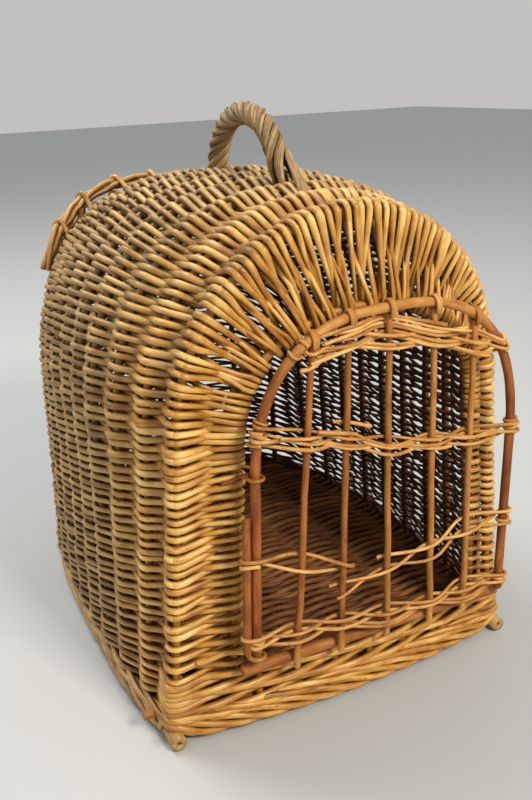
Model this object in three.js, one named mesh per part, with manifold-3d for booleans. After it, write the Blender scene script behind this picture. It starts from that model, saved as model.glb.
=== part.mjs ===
// A willow cat carrier: a vaulted basket with a rounded rear, an arched doorway in the front,
// a barred door hung on ties at the left, and a roped handle on the ridge.
// Millimetres, +Z up, the front faces -Y. The origin is the middle of the box's underside.

import * as THREE from "three";
import { mergeVertices } from "three/addons/utils/BufferGeometryUtils.js";
import Module from "manifold-3d";

const wasm = await Module();
wasm.setup();

// Clearance between pieces that touch
const GAP = 0.3;

// Rods and walls
const WALL = 14; // thickness of a woven wall
const WAIST = 5; // thickness midway between two rods, where the weavers cross
const STAKE_R = 4;
const RIM_R = WALL / 2; // corner and doorway hoops with the weavers wrapped round them
const BORDER_R = 7;

// Outside of the basket
const FRONT_WIDTH = 300; // at the foot of the front corners
const BODY_WIDTH = 332; // at the widest
const BODY_DEPTH = 415; // from the front corners to the rear
const WIDEST_Y = 125;
const PLAN_POWER = 3.4; // squareness of the rear corners seen from above
const FRONT_BULGE = 12.5;
const RIDGE_FRONT = 380;
const RIDGE_MIDDLE = 387;
const RIDGE_REAR = 360;
const FRONT_SPRING = 236; // height where the front arch leaves its straight legs
const BODY_SPRING = 190;
const FRONT_LEAN = 0.883; // share of the foot's width that is left at the springing
const BODY_LEAN = 0.957;
const FRONT_ARCH = 1.95; // power of the arch's superellipse: 2 is an ellipse
const BODY_ARCH = 2.7;
const REAR_ARCH = 2.25;
const REAR_CHANGE_Y = 150; // from here back the arch grows rounder

// Hoops from front to rear
const HOOP_COUNT = 10;
const FIRST_HOOP_STEP = 42;
const LAST_HOOP_Y = 325;
const REAR_FAN = 30; // how far the last hoop's crown leans back
const FAN_POWER = 1.9;
const REAR_STAKES = 7;

// Rear border: stands above the roof's rear edge with a slit between them
const BORDER_RIDGE = 368;
const BORDER_FAN = 51; // how far its crown leans back
const BORDER_BACK = 6.5; // how far it lies behind the last hoop where they meet
const BORDER_FROM = 287; // height where it leaves the last hoop

// Base
const RUNNER_R = 6;
const RUNNER_INSET = 19; // from the widest place of the basket
const RUNNER_OVERHANG = 6;
const FLOOR_THICK = 12;
const FLOOR_STICKS = 6;
const FLOOR_STICKS_WIDTH = 220;
const FLOOR_MARGIN = 4; // flat floor left before and behind the rails
const FOOT_Z = 2.5; // the woven rim round the floor hangs down to here
const FOOT_WIDTH = 6;
const FOOT_FLARE = 6; // how far the rim stands out at the front
const RAIL_R = 3.5;
const RAIL_OVERHANG = 5;

// Doorway
const DOORWAY_X = 11; // the doorway sits right of the middle
const DOORWAY_FOOT_WIDTH = 208;
const DOORWAY_WIDTH = 186; // at the springing
const DOORWAY_SPRING = 219;
const DOORWAY_TOP = 302;
const DOORWAY_ARCH = 2.5;
const SILL_TOP = 56;

// Door
const DOOR_X = 21;
const DOOR_Y = -25.5;
const DOOR_FOOT_WIDTH = 216;
const DOOR_SWAY = 4; // the feet stand this far left of the shoulders
const DOOR_WIDTH = 214;
const DOOR_SPRING = 194;
const DOOR_TOP = 311;
const DOOR_ARCH = 2.6;
const DOOR_FEET = [72, 62]; // left and right: the door sags
const DOOR_R = 3.9;
const BAR_R = 2.9;
const BAR_FOOT = 53;
const BARS_AT_FOOT = [-0.752, -0.402, -0.028, 0.346, 0.645]; // shares of the half-width
const BARS_AT_TOP = [-0.579, -0.318, -0.028, 0.318, 0.645];
const BOTTOM_RAIL_R = 4.5;
const BOTTOM_RAIL_Z = [60, 55];
const SPARE_R = 3;
const SPARE_FOOT = 78;
const SPARE_TOP = 184;
const BAND_HEIGHT = 11;
const BAND_WEAVER = 2.4; // a band's weavers pass this far outside the bars
const TOP_BAND_Z = [297, 270]; // left and right end, as for the other bands
const UPPER_BAND_Z = [244, 201];
const LOWER_LEFT_BAND_Z = [150, 124];
const LOWER_RIGHT_BAND_Z = [104, 124];
const BOTTOM_BAND_Z = [85, 69];
const BAND_END = 6; // how far a loose band end runs past its bar

// Hinge ties
const TIE_R = 1.8;
const TIE_CLEARANCE = 0.35;
const LOWER_TIE_Z = 75;
const UPPER_TIE_Z = 212;

// Handle
const HANDLE_R = 9;
const HANDLE_LOBE = 1.3; // depth of the twist's grooves
const HANDLE_STRANDS = 3;
const HANDLE_TURNS = 2.5;
const HANDLE_TOP = 431; // middle of the rod at the top
const HANDLE_ARCH = 2.2;
const HANDLE_FRONT_GAP = 2; // number of the hoop in front of each foot
const HANDLE_REAR_GAP = 5;
const HANDLE_TUCK = 4; // how far the feet reach inside the roof

// Faceting
const LEG_STEPS = 4;
const ARCH_STEPS = 8;
const ROD_SIDES = 6;
const RIM_SIDES = 8;
const WALL_STEPS = 6;

const COLOURS = {
  side: { color: 0xb08a52, roughness: 0.7 },
  front: { color: 0xc8923f, roughness: 0.5 },
  door: { color: 0x8d5330, roughness: 0.65 },
  band: { color: 0xcfa465, roughness: 0.6 },
  handle: { color: 0xc9a468, roughness: 0.65 },
  base: { color: 0x7a4c2c, roughness: 0.75 },
};

const HALF_WALL = WALL / 2;
const FLOOR_BOTTOM = 2 * RUNNER_R + GAP;
const FLOOR_TOP = FLOOR_BOTTOM + FLOOR_THICK;
const WALL_FOOT = FLOOR_TOP + GAP;
const FRONT_HALF = FRONT_WIDTH / 2 - HALF_WALL;
const BODY_HALF = BODY_WIDTH / 2 - HALF_WALL;
const REAR_Y = BODY_DEPTH - HALF_WALL;
const RUNNER_X = BODY_WIDTH / 2 - RUNNER_INSET;

const vec = (x, y, z) => new THREE.Vector3(x, y, z);
const mix = THREE.MathUtils.lerp;
const smooth = THREE.MathUtils.smoothstep;

const carrier = new THREE.Group();

// Solids from rings of points

// A closed body through rings of equal length, with flat ends.
function loft(rings) {
  const count = rings[0].length;
  const points = rings.flat();
  const faces = [];
  for (let i = 0; i + 1 < rings.length; i++) {
    for (let j = 0; j < count; j++) {
      const a = i * count + j;
      const b = i * count + ((j + 1) % count);
      faces.push(a, b, b + count, a, b + count, a + count);
    }
  }
  const last = (rings.length - 1) * count;
  for (let j = 1; j + 1 < count; j++) {
    faces.push(0, j + 1, j, last, last + j, last + j + 1);
  }
  let volume = 0;
  const normal = new THREE.Vector3();
  for (let i = 0; i < faces.length; i += 3) {
    normal.crossVectors(points[faces[i + 1]], points[faces[i + 2]]);
    volume += points[faces[i]].dot(normal);
  }
  if (volume < 0) {
    faces.reverse();
  }
  const geometry = new THREE.BufferGeometry().setFromPoints(points);
  return geometry.setIndex(faces);
}

function tangents(path) {
  return path.map((point, i) => {
    const before = path[Math.max(i - 1, 0)];
    const after = path[Math.min(i + 1, path.length - 1)];
    return after.clone().sub(before).normalize();
  });
}

// The same with upright ends, so that what stands on a floor is cut level.
function uprightTangents(path) {
  return tangents(path).map((tangent, i) => {
    const isEnd = i === 0 || i === path.length - 1;
    return isEnd ? vec(0, 0, Math.sign(tangent.z)) : tangent;
  });
}

// A rod along a path. The section's radius may depend on the angle and on the place along the path.
function rod(path, radius, sides, side, { start = 0, upright = false } = {}) {
  const radiusAt = typeof radius === "function" ? radius : () => radius;
  const along = upright ? uprightTangents(path) : tangents(path);
  const rings = along.map((tangent, i) => {
    const across = side.clone().addScaledVector(tangent, -side.dot(tangent)).normalize();
    const other = tangent.clone().cross(across);
    return Array.from({ length: sides }, (_, j) => {
      const angle = start + (2 * Math.PI * j) / sides;
      const r = radiusAt(angle, i / (path.length - 1));
      return path[i]
        .clone()
        .addScaledVector(across, r * Math.cos(angle))
        .addScaledVector(other, r * Math.sin(angle));
    });
  });
  return loft(rings);
}

// A woven strip that fills the space between two rods, square to the surface that they span.
// The weavers cross midway, so the strip has a waist there.
function strip(left, right, leftSpace, rightSpace) {
  const along = uprightTangents(left.map((point, i) => point.clone().lerp(right[i], 0.5)));
  const leftAlong = uprightTangents(left);
  const rightAlong = uprightTangents(right);
  const rings = left.map((point, i) => {
    const across = right[i].clone().sub(point);
    const squareTo = (tangent) => {
      return across.clone().addScaledVector(tangent, -across.dot(tangent)).normalize();
    };
    const from = point.clone().addScaledVector(squareTo(leftAlong[i]), leftSpace);
    const to = right[i].clone().addScaledVector(squareTo(rightAlong[i]), -rightSpace);
    const out = along[i].clone().cross(across).normalize();
    const middle = from.clone().lerp(to, 0.5);
    return [
      from.clone().addScaledVector(out, HALF_WALL),
      middle.clone().addScaledVector(out, WAIST / 2),
      to.clone().addScaledVector(out, HALF_WALL),
      to.clone().addScaledVector(out, -HALF_WALL),
      middle.clone().addScaledVector(out, -WAIST / 2),
      from.clone().addScaledVector(out, -HALF_WALL),
    ];
  });
  return loft(rings);
}

// Cuts

// The same faces with shared corners and nothing but positions.
function bareFaces(geometry) {
  const bare = new THREE.BufferGeometry();
  bare.setAttribute("position", geometry.getAttribute("position"));
  bare.setIndex(geometry.getIndex());
  return mergeVertices(bare, 1e-4);
}

function toSolid(geometry) {
  const merged = bareFaces(geometry);
  const mesh = new wasm.Mesh({
    numProp: 3,
    vertProperties: merged.getAttribute("position").array,
    triVerts: new Uint32Array(merged.getIndex().array),
  });
  return new wasm.Manifold(mesh);
}

function toGeometry(solid) {
  const mesh = solid.getMesh();
  const geometry = new THREE.BufferGeometry();
  geometry.setAttribute("position", new THREE.BufferAttribute(mesh.vertProperties, 3));
  return geometry.setIndex(new THREE.BufferAttribute(mesh.triVerts, 1));
}

function cut(geometry, ...cutters) {
  const solid = cutters.reduce((left, cutter) => left.subtract(toSolid(cutter)), toSolid(geometry));
  return toGeometry(solid);
}

function join(first, second) {
  return toGeometry(toSolid(first).add(toSolid(second)));
}

function add(name, geometry, finish) {
  const material = new THREE.MeshStandardMaterial({ ...COLOURS[finish], metalness: 0 });
  const mesh = new THREE.Mesh(geometry, material);
  mesh.name = name;
  carrier.add(mesh);
}

// Shape of the basket: middle of the woven wall

// An arch from its left foot over the crown to its right foot, in its own plane.
function archOutline({ foot, footHalf, spring, springHalf, top, power }) {
  const quarter = [];
  for (let i = 0; i < LEG_STEPS; i++) {
    const share = i / LEG_STEPS;
    quarter.push([mix(footHalf, springHalf, share), mix(foot, spring, share)]);
  }
  for (let i = 0; i <= ARCH_STEPS; i++) {
    const angle = (Math.PI / 2) * (i / ARCH_STEPS);
    const half = springHalf * Math.abs(Math.cos(angle)) ** (2 / power);
    quarter.push([i < ARCH_STEPS ? half : 0, mix(spring, top, Math.sin(angle) ** (2 / power))]);
  }
  const right = quarter.slice(0, -1).reverse();
  return [...quarter.map(([half, z]) => [-half, z]), ...right];
}

// Half-width of the wall's foot at a distance from the front.
function planHalf(y) {
  if (y < WIDEST_Y) {
    return mix(FRONT_HALF, BODY_HALF, Math.sin((Math.PI / 2) * (y - HALF_WALL) / (WIDEST_Y - HALF_WALL)));
  }
  const share = (y - WIDEST_Y) / (REAR_Y - WIDEST_Y);
  return BODY_HALF * Math.max(1 - share ** PLAN_POWER, 0) ** (1 / PLAN_POWER);
}

function ridge(y) {
  const middle = LAST_HOOP_Y / 2;
  const end = y < middle ? RIDGE_FRONT : RIDGE_REAR;
  return mix(RIDGE_MIDDLE, end, ((y - middle) / middle) ** 2) - HALF_WALL;
}

function hoopY(number) {
  if (number === 0) {
    return HALF_WALL;
  }
  return mix(FIRST_HOOP_STEP, LAST_HOOP_Y, (number - 1) / (HOOP_COUNT - 2));
}

function hoopFan(number) {
  return mix(-FRONT_BULGE, REAR_FAN, (number / (HOOP_COUNT - 1)) ** FAN_POWER);
}

function hoopPath(number) {
  const y = hoopY(number);
  const change = smooth(y, HALF_WALL, WIDEST_Y);
  const footHalf = planHalf(y);
  const outline = archOutline({
    foot: WALL_FOOT,
    footHalf,
    spring: mix(FRONT_SPRING, BODY_SPRING, change),
    springHalf: footHalf * mix(FRONT_LEAN, BODY_LEAN, change),
    top: ridge(y),
    power: mix(mix(FRONT_ARCH, BODY_ARCH, change), REAR_ARCH, smooth(y, REAR_CHANGE_Y, LAST_HOOP_Y)),
  });
  return outline.map(([x, z]) => vec(x, y + hoopFan(number) * (1 - (x / footHalf) ** 2), z));
}

// The front panel's curve seen from above.
function frontY(x) {
  return HALF_WALL - FRONT_BULGE * (1 - (x / FRONT_HALF) ** 2);
}

const hoops = Array.from({ length: HOOP_COUNT }, (_, number) => hoopPath(number));
const hoopRadius = (number) => (number === 0 ? RIM_R : STAKE_R);
const ALONG_Y = vec(0, 1, 0);
const ALONG_X = vec(1, 0, 0);
const UPRIGHT = { upright: true };

// Handle: its path also cuts the holes for its feet
const crownY = (number) => hoopY(number) + hoopFan(number);
const betweenCrowns = (number) => (crownY(number) + crownY(number + 1)) / 2;

function handlePath() {
  const front = betweenCrowns(HANDLE_FRONT_GAP);
  const rear = betweenCrowns(HANDLE_REAR_GAP);
  const foot = ridge(front) - HALF_WALL - HANDLE_TUCK;
  const steps = 4 * ARCH_STEPS;
  return Array.from({ length: steps + 1 }, (_, i) => {
    const angle = (Math.PI * i) / steps;
    const turn = Math.cos(angle);
    const reach = Math.sign(turn) * Math.abs(turn) ** (2 / HANDLE_ARCH);
    const rise = Math.max(Math.sin(angle), 0) ** (2 / HANDLE_ARCH);
    return vec(0, (front + rear) / 2 - (reach * (rear - front)) / 2, mix(foot, HANDLE_TOP, rise));
  });
}

function addHandle() {
  const twisted = (angle, share) => {
    const lobe = Math.cos(HANDLE_STRANDS * (angle - 2 * Math.PI * HANDLE_TURNS * share));
    return HANDLE_R - (HANDLE_LOBE * (1 - lobe)) / 2;
  };
  add("handle", rod(handlePath(), twisted, 2 * ROD_SIDES, ALONG_X), "handle");
}

// Hoops and the woven bays between them

function addVault() {
  const feet = rod(handlePath(), HANDLE_R + GAP, 2 * ROD_SIDES, ALONG_X);
  const holed = [HANDLE_FRONT_GAP, HANDLE_REAR_GAP];
  hoops.forEach((path, number) => {
    const sides = number === 0 ? RIM_SIDES : ROD_SIDES;
    const name = number === 0 ? "front_corner_hoop" : `hoop_${number}`;
    add(name, rod(path, hoopRadius(number), sides, ALONG_Y, UPRIGHT), number === 0 ? "front" : "side");
  });
  for (let number = 0; number + 1 < HOOP_COUNT; number++) {
    const spaces = [hoopRadius(number) + GAP, hoopRadius(number + 1) + GAP];
    const bay = strip(hoops[number], hoops[number + 1], ...spaces);
    const whole = holed.includes(number) ? cut(bay, feet) : bay;
    add(`woven_bay_${number + 1}`, whole, "side");
  }
}

// Rear border and rear wall

// Where a path first climbs past a height.
function atHeight(path, z) {
  const above = path.findIndex((point, n) => n > 0 && point.z >= z);
  const low = path[above - 1];
  const high = path[above];
  return low.clone().lerp(high, (z - low.z) / (high.z - low.z));
}

function borderPath() {
  const footHalf = planHalf(LAST_HOOP_Y);
  const outline = archOutline({
    foot: WALL_FOOT,
    footHalf,
    spring: BODY_SPRING,
    springHalf: footHalf * BODY_LEAN,
    top: BORDER_RIDGE - BORDER_R,
    power: BODY_ARCH,
  });
  const whole = outline.map(([x, z]) => {
    return vec(x, LAST_HOOP_Y + BORDER_BACK + BORDER_FAN * (1 - (x / footHalf) ** 2), z);
  });
  const held = whole.filter((point) => point.z > BORDER_FROM);
  return [atHeight(whole, BORDER_FROM), ...held, atHeight([...whole].reverse(), BORDER_FROM)];
}

// Evenly spaced points along a path.
function spaced(path, count) {
  return new THREE.CatmullRomCurve3(path).getSpacedPoints(count);
}

function rearFoot() {
  const from = Math.asin(((LAST_HOOP_Y - WIDEST_Y) / (REAR_Y - WIDEST_Y)) ** (PLAN_POWER / 2));
  const steps = 8 * ARCH_STEPS;
  return Array.from({ length: steps + 1 }, (_, i) => {
    const angle = mix(from, Math.PI - from, i / steps);
    const turn = Math.cos(angle);
    const x = -BODY_HALF * Math.sign(turn) * Math.abs(turn) ** (2 / PLAN_POWER);
    const y = mix(WIDEST_Y, REAR_Y, Math.sin(angle) ** (2 / PLAN_POWER));
    return vec(x, y, WALL_FOOT);
  });
}

// A leg of the last hoop from its foot to a height, with as many points as a rear stake.
function legBelow(path, top) {
  return Array.from({ length: WALL_STEPS + 1 }, (_, i) => {
    return atHeight(path, mix(WALL_FOOT, top, i / WALL_STEPS));
  });
}

// How far a level-cut stake ends below the middle of the border, where the border climbs.
function underBorder(tangent) {
  const level = Math.hypot(tangent.x, tangent.y);
  const climb = Math.abs(tangent.z) / level;
  return (BORDER_R + GAP) / level + HALF_WALL * climb + GAP;
}

function addRear() {
  const lastHoop = hoops[HOOP_COUNT - 1];
  const border = borderPath();
  const borderSpace = rod(border, BORDER_R + GAP, RIM_SIDES, ALONG_Y);
  add("rear_border", rod(border, BORDER_R, RIM_SIDES, ALONG_Y), "side");
  const feet = spaced(rearFoot(), REAR_STAKES + 1);
  const tops = spaced(border, REAR_STAKES + 1);
  const under = tangents(tops).map(underBorder);
  const posts = feet.map((foot, i) => {
    const top = tops[i].clone().add(vec(0, 0, -under[i]));
    return Array.from({ length: WALL_STEPS + 1 }, (_, n) => {
      const share = n / WALL_STEPS;
      const lean = share ** 2;
      return vec(mix(foot.x, top.x, lean), mix(foot.y, top.y, lean), mix(foot.z, top.z, share));
    });
  });
  const legTop = border[0].z - under[0];
  posts[0] = legBelow(lastHoop, legTop);
  posts[REAR_STAKES + 1] = legBelow([...lastHoop].reverse(), legTop);
  const space = STAKE_R + 2 * GAP;
  for (let i = 0; i <= REAR_STAKES; i++) {
    if (i > 0) {
      add(`rear_stake_${i}`, rod(posts[i], STAKE_R, ROD_SIDES, ALONG_X, UPRIGHT), "side");
    }
    const bay = strip(posts[i], posts[i + 1], space, space);
    add(`rear_bay_${i + 1}`, cut(bay, borderSpace), "side");
  }
}

// Front panel

function doorwayPath() {
  const outline = archOutline({
    foot: WALL_FOOT,
    footHalf: DOORWAY_FOOT_WIDTH / 2 + RIM_R,
    spring: DOORWAY_SPRING,
    springHalf: DOORWAY_WIDTH / 2 + RIM_R,
    top: DOORWAY_TOP + RIM_R,
    power: DOORWAY_ARCH,
  });
  return outline.map(([x, z]) => vec(DOORWAY_X + x, frontY(DOORWAY_X + x), z));
}

const doorway = doorwayPath();

function addFront() {
  const rim = rod(doorway, RIM_R, RIM_SIDES, ALONG_Y, UPRIGHT);
  add("doorway_hoop", rim, "front");
  add("front_weave", strip(hoops[0], doorway, RIM_R + GAP, RIM_R + GAP), "front");
  const space = RIM_R + GAP;
  const steps = 2 * ARCH_STEPS;
  const edge = (z, side) => {
    const share = (z - WALL_FOOT) / (DOORWAY_SPRING - WALL_FOOT);
    const half = mix(DOORWAY_FOOT_WIDTH, DOORWAY_WIDTH, share) / 2 + RIM_R - space;
    return DOORWAY_X + side * half;
  };
  const sill = Array.from({ length: steps + 1 }, (_, i) => {
    const corner = (z, depth) => {
      const x = mix(edge(z, -1), edge(z, 1), i / steps);
      return vec(x, frontY(x) + depth, z);
    };
    return [
      corner(WALL_FOOT, -HALF_WALL),
      corner(SILL_TOP, -HALF_WALL),
      corner(SILL_TOP, HALF_WALL),
      corner(WALL_FOOT, HALF_WALL),
    ];
  });
  add("sill_weave", loft(sill), "front");
}

// Base

// Between two sticks the floor's weavers cross, so the floor is thinner there on both faces.
function floorTroughs(middleZ, railPlaces) {
  const sticks = Array.from({ length: FLOOR_STICKS }, (_, i) => {
    return FLOOR_STICKS_WIDTH * (i / (FLOOR_STICKS - 1) - 0.5);
  });
  const ridges = [-RUNNER_X, ...sticks, RUNNER_X];
  const beside = RAIL_R + FLOOR_MARGIN;
  const ends = [railPlaces.front_base_rail + beside, railPlaces.rear_base_rail - beside];
  const troughs = [];
  for (let i = 0; i + 1 < ridges.length; i++) {
    for (const side of [-1, 1]) {
      const from = ridges[i] + RAIL_R;
      const to = ridges[i + 1] - RAIL_R;
      const rings = ends.map((y) => [
        vec(from, y, middleZ + side * (FLOOR_THICK / 2 + GAP)),
        vec(to, y, middleZ + side * (FLOOR_THICK / 2 + GAP)),
        vec((from + to) / 2, y, middleZ + (side * WAIST) / 2),
      ]);
      troughs.push(loft(rings));
    }
  }
  return troughs;
}

// Half-width of the base seen from above: wider than the wall near the front.
function baseHalf(y) {
  return planHalf(y) + HALF_WALL + FOOT_FLARE * (1 - smooth(y, HALF_WALL, WIDEST_Y));
}

// The base's edge seen from above, drawn in by a distance.
function baseEdge(inset) {
  const steps = 2 * ARCH_STEPS;
  const edge = [];
  for (let i = 0; i <= steps; i++) {
    const x = mix(-FRONT_HALF, FRONT_HALF, i / steps);
    const spread = 1 + (FOOT_FLARE - inset) / FRONT_HALF;
    edge.push(new THREE.Vector2(x * spread, frontY(x) - HALF_WALL - FOOT_FLARE + inset));
  }
  const side = [];
  for (let i = 0; i < steps; i++) {
    const y = mix(HALF_WALL, LAST_HOOP_Y, i / steps);
    side.push(new THREE.Vector2(baseHalf(y) - inset, y));
  }
  edge.push(...side);
  const rear = rearFoot();
  const middle = vec(0, WIDEST_Y, WALL_FOOT);
  for (let i = rear.length - 1; i >= 0; i -= 2) {
    const out = rear[i].clone().sub(middle).normalize().multiplyScalar(HALF_WALL - inset);
    edge.push(new THREE.Vector2(rear[i].x + out.x, rear[i].y + out.y));
  }
  edge.push(...side.reverse().map((point) => new THREE.Vector2(-point.x, point.y)));
  return edge;
}

// A plate or a rim between two heights.
function upright(outline, from, to) {
  const geometry = new THREE.ExtrudeGeometry(outline, { depth: to - from, bevelEnabled: false });
  return geometry.translate(0, 0, from);
}

function addBase() {
  const plate = upright(new THREE.Shape(baseEdge(0)), FLOOR_BOTTOM, FLOOR_TOP);
  const ring = new THREE.Shape(baseEdge(0));
  ring.holes.push(new THREE.Path(baseEdge(FOOT_WIDTH)));
  const floor = join(plate, upright(ring, FOOT_Z, FLOOR_BOTTOM + GAP));
  const railZ = FLOOR_BOTTOM + FLOOR_THICK / 2;
  const railPlaces = { front_base_rail: hoopY(1) / 2, rear_base_rail: LAST_HOOP_Y };
  const holes = floorTroughs(railZ, railPlaces);
  for (const [name, y] of Object.entries(railPlaces)) {
    const end = baseHalf(y) + RAIL_OVERHANG;
    const path = [vec(-end, y, railZ), vec(end, y, railZ)];
    add(name, rod(path, RAIL_R, RIM_SIDES, ALONG_Y), "base");
    holes.push(rod(path, RAIL_R + GAP, RIM_SIDES, ALONG_Y));
  }
  const flatDown = { start: Math.PI / RIM_SIDES };
  const outer = (space) => (RUNNER_R + space) / Math.cos(flatDown.start);
  for (const [name, side] of [["left_runner", -1], ["right_runner", 1]]) {
    const path = (space) => [
      vec(side * RUNNER_X, -RUNNER_OVERHANG - space, RUNNER_R),
      vec(side * RUNNER_X, LAST_HOOP_Y + space, RUNNER_R),
    ];
    add(name, rod(path(0), outer(0), RIM_SIDES, ALONG_X, flatDown), "base");
    holes.push(rod(path(GAP), outer(GAP), RIM_SIDES, ALONG_X, flatDown));
  }
  add("floor_weave", cut(floor, ...holes), "base");
}

// Door

function doorPath() {
  const foot = Math.min(...DOOR_FEET);
  const outline = archOutline({
    foot,
    footHalf: DOOR_FOOT_WIDTH / 2,
    spring: DOOR_SPRING,
    springHalf: DOOR_WIDTH / 2,
    top: DOOR_TOP,
    power: DOOR_ARCH,
  });
  return outline.map(([x, z]) => {
    const down = Math.max((DOOR_SPRING - z) / (DOOR_SPRING - foot), 0);
    const ownFoot = DOOR_FEET[x < 0 ? 0 : 1];
    return vec(DOOR_X + x - DOOR_SWAY * down, DOOR_Y, down > 0 ? mix(DOOR_SPRING, ownFoot, down) : z);
  });
}

const door = doorPath();

// Where the door's hoop crosses a height, on the left (-1) or the right (1).
function doorEdge(z, side) {
  return atHeight(side < 0 ? door : [...door].reverse(), z).x;
}

// A band of weavers between two points of the door, as one slab.
function bandSlab(from, to) {
  const depth = BAR_R + BAND_WEAVER;
  const ring = ([x, z]) => [
    vec(x, DOOR_Y - depth, z - BAND_HEIGHT / 2),
    vec(x, DOOR_Y - depth, z + BAND_HEIGHT / 2),
    vec(x, DOOR_Y + depth, z + BAND_HEIGHT / 2),
    vec(x, DOOR_Y + depth, z - BAND_HEIGHT / 2),
  ];
  return loft([ring(from), ring(to)]);
}

function addDoor() {
  const hoop = rod(door, DOOR_R, RIM_SIDES, ALONG_Y);
  const hoopSpace = rod(door, DOOR_R + GAP, RIM_SIDES, ALONG_Y);
  add("door_hoop", hoop, "door");

  const cutters = [hoopSpace];
  const place = (share) => DOOR_X + (share * DOOR_WIDTH) / 2;
  const bars = BARS_AT_FOOT.map((share, i) => {
    const top = place(BARS_AT_TOP[i]);
    return [vec(place(share), DOOR_Y, BAR_FOOT), vec(top, DOOR_Y, doorTop(top))];
  });
  bars.forEach((path, i) => {
    add(`door_bar_${i + 1}`, cut(rod(path, BAR_R, ROD_SIDES, ALONG_X), hoopSpace), "door");
    cutters.push(rod(path, BAR_R + GAP, ROD_SIDES, ALONG_X));
  });

  const railY = DOOR_Y + BAR_R + GAP + BOTTOM_RAIL_R;
  const railPath = [-1, 1].map((side, i) => {
    return vec(doorEdge(BOTTOM_RAIL_Z[i], side) + side * DOOR_R, railY, BOTTOM_RAIL_Z[i]);
  });
  add("door_bottom_rail", rod(railPath, BOTTOM_RAIL_R, RIM_SIDES, ALONG_Y), "door");

  const beside = DOOR_R + SPARE_R + GAP;
  const sparePath = [SPARE_FOOT, SPARE_TOP].map((z) => vec(doorEdge(z, -1) - beside, DOOR_Y, z));
  add("door_spare_rod", rod(sparePath, SPARE_R, ROD_SIDES, ALONG_X), "door");
  cutters.push(rod(sparePath, SPARE_R + GAP, ROD_SIDES, ALONG_X));

  const wrap = DOOR_R + GAP + BAND_WEAVER;
  const spareWrap = beside + SPARE_R + GAP + BAND_WEAVER;
  const outside = (z, side, reach) => [doorEdge(z, side) + side * reach, z];
  const besideBar = (z, side) => [atHeight(bars[1], z).x + side * BAND_END, z];
  const bands = {
    door_top_band: [outside(TOP_BAND_Z[0], -1, wrap), outside(TOP_BAND_Z[1], 1, wrap)],
    door_upper_band: [outside(UPPER_BAND_Z[0], -1, wrap), outside(UPPER_BAND_Z[1], 1, wrap)],
    door_lower_left_band: [
      outside(LOWER_LEFT_BAND_Z[0], -1, spareWrap),
      besideBar(LOWER_LEFT_BAND_Z[1], 1),
    ],
    door_lower_right_band: [
      besideBar(LOWER_RIGHT_BAND_Z[0], -1),
      outside(LOWER_RIGHT_BAND_Z[1], 1, wrap),
    ],
    door_bottom_band: [
      outside(BOTTOM_BAND_Z[0], -1, spareWrap),
      outside(BOTTOM_BAND_Z[1], 1, wrap),
    ],
  };
  for (const [name, [from, to]] of Object.entries(bands)) {
    add(name, cut(bandSlab(from, to), ...cutters), "band");
  }
}

// Height of the door hoop's middle above a place across the door.
function doorTop(x) {
  const half = door.slice(0, (door.length + 1) / 2);
  const left = DOOR_X - Math.abs(x - DOOR_X);
  const after = half.findIndex((point, n) => n > 0 && point.x >= left && point.z > DOOR_SPRING);
  const low = half[after - 1];
  const high = half[after];
  return mix(low.z, high.z, (left - low.x) / (high.x - low.x));
}

// Hinge ties: a ring round the door's left leg on a neck that sits on the doorway hoop

function addTies() {
  const rimSpace = rod(doorway, RIM_R + GAP, RIM_SIDES, ALONG_Y);
  const legTop = vec(doorEdge(DOOR_SPRING, -1), DOOR_Y, DOOR_SPRING);
  const legFoot = door[0].clone();
  const axis = legTop.sub(legFoot).normalize();
  const turnUp = new THREE.Quaternion().setFromUnitVectors(vec(0, 0, 1), axis);
  const ringR = DOOR_R + TIE_CLEARANCE + TIE_R;
  for (const [name, z] of [["lower_hinge_tie", LOWER_TIE_Z], ["upper_hinge_tie", UPPER_TIE_Z]]) {
    const centre = vec(doorEdge(z, -1), DOOR_Y, z);
    const share = (z - WALL_FOOT) / (DOORWAY_SPRING - WALL_FOOT);
    const rimX = DOORWAY_X - mix(DOORWAY_FOOT_WIDTH, DOORWAY_WIDTH, share) / 2 - RIM_R;
    const seat = vec(rimX, frontY(rimX), z);
    const ring = new THREE.TorusGeometry(ringR, TIE_R, ROD_SIDES, 2 * RIM_SIDES);
    ring.applyQuaternion(turnUp).translate(...centre.toArray());
    const toSeat = seat.clone().sub(centre).normalize();
    const neckFrom = centre.clone().addScaledVector(toSeat, ringR);
    const neck = rod([neckFrom, seat], TIE_R, ROD_SIDES, vec(0, 0, 1));
    add(name, cut(join(ring, neck), rimSpace), "front");
  }
}

addBase();
addVault();
addRear();
addFront();
addHandle();
addDoor();
addTies();

const box = new THREE.Box3().setFromObject(carrier);
const middle = box.getCenter(new THREE.Vector3());
carrier.children.forEach((mesh) => mesh.position.set(-middle.x, -middle.y, -box.min.z));

export default carrier;
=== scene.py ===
import math

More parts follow.
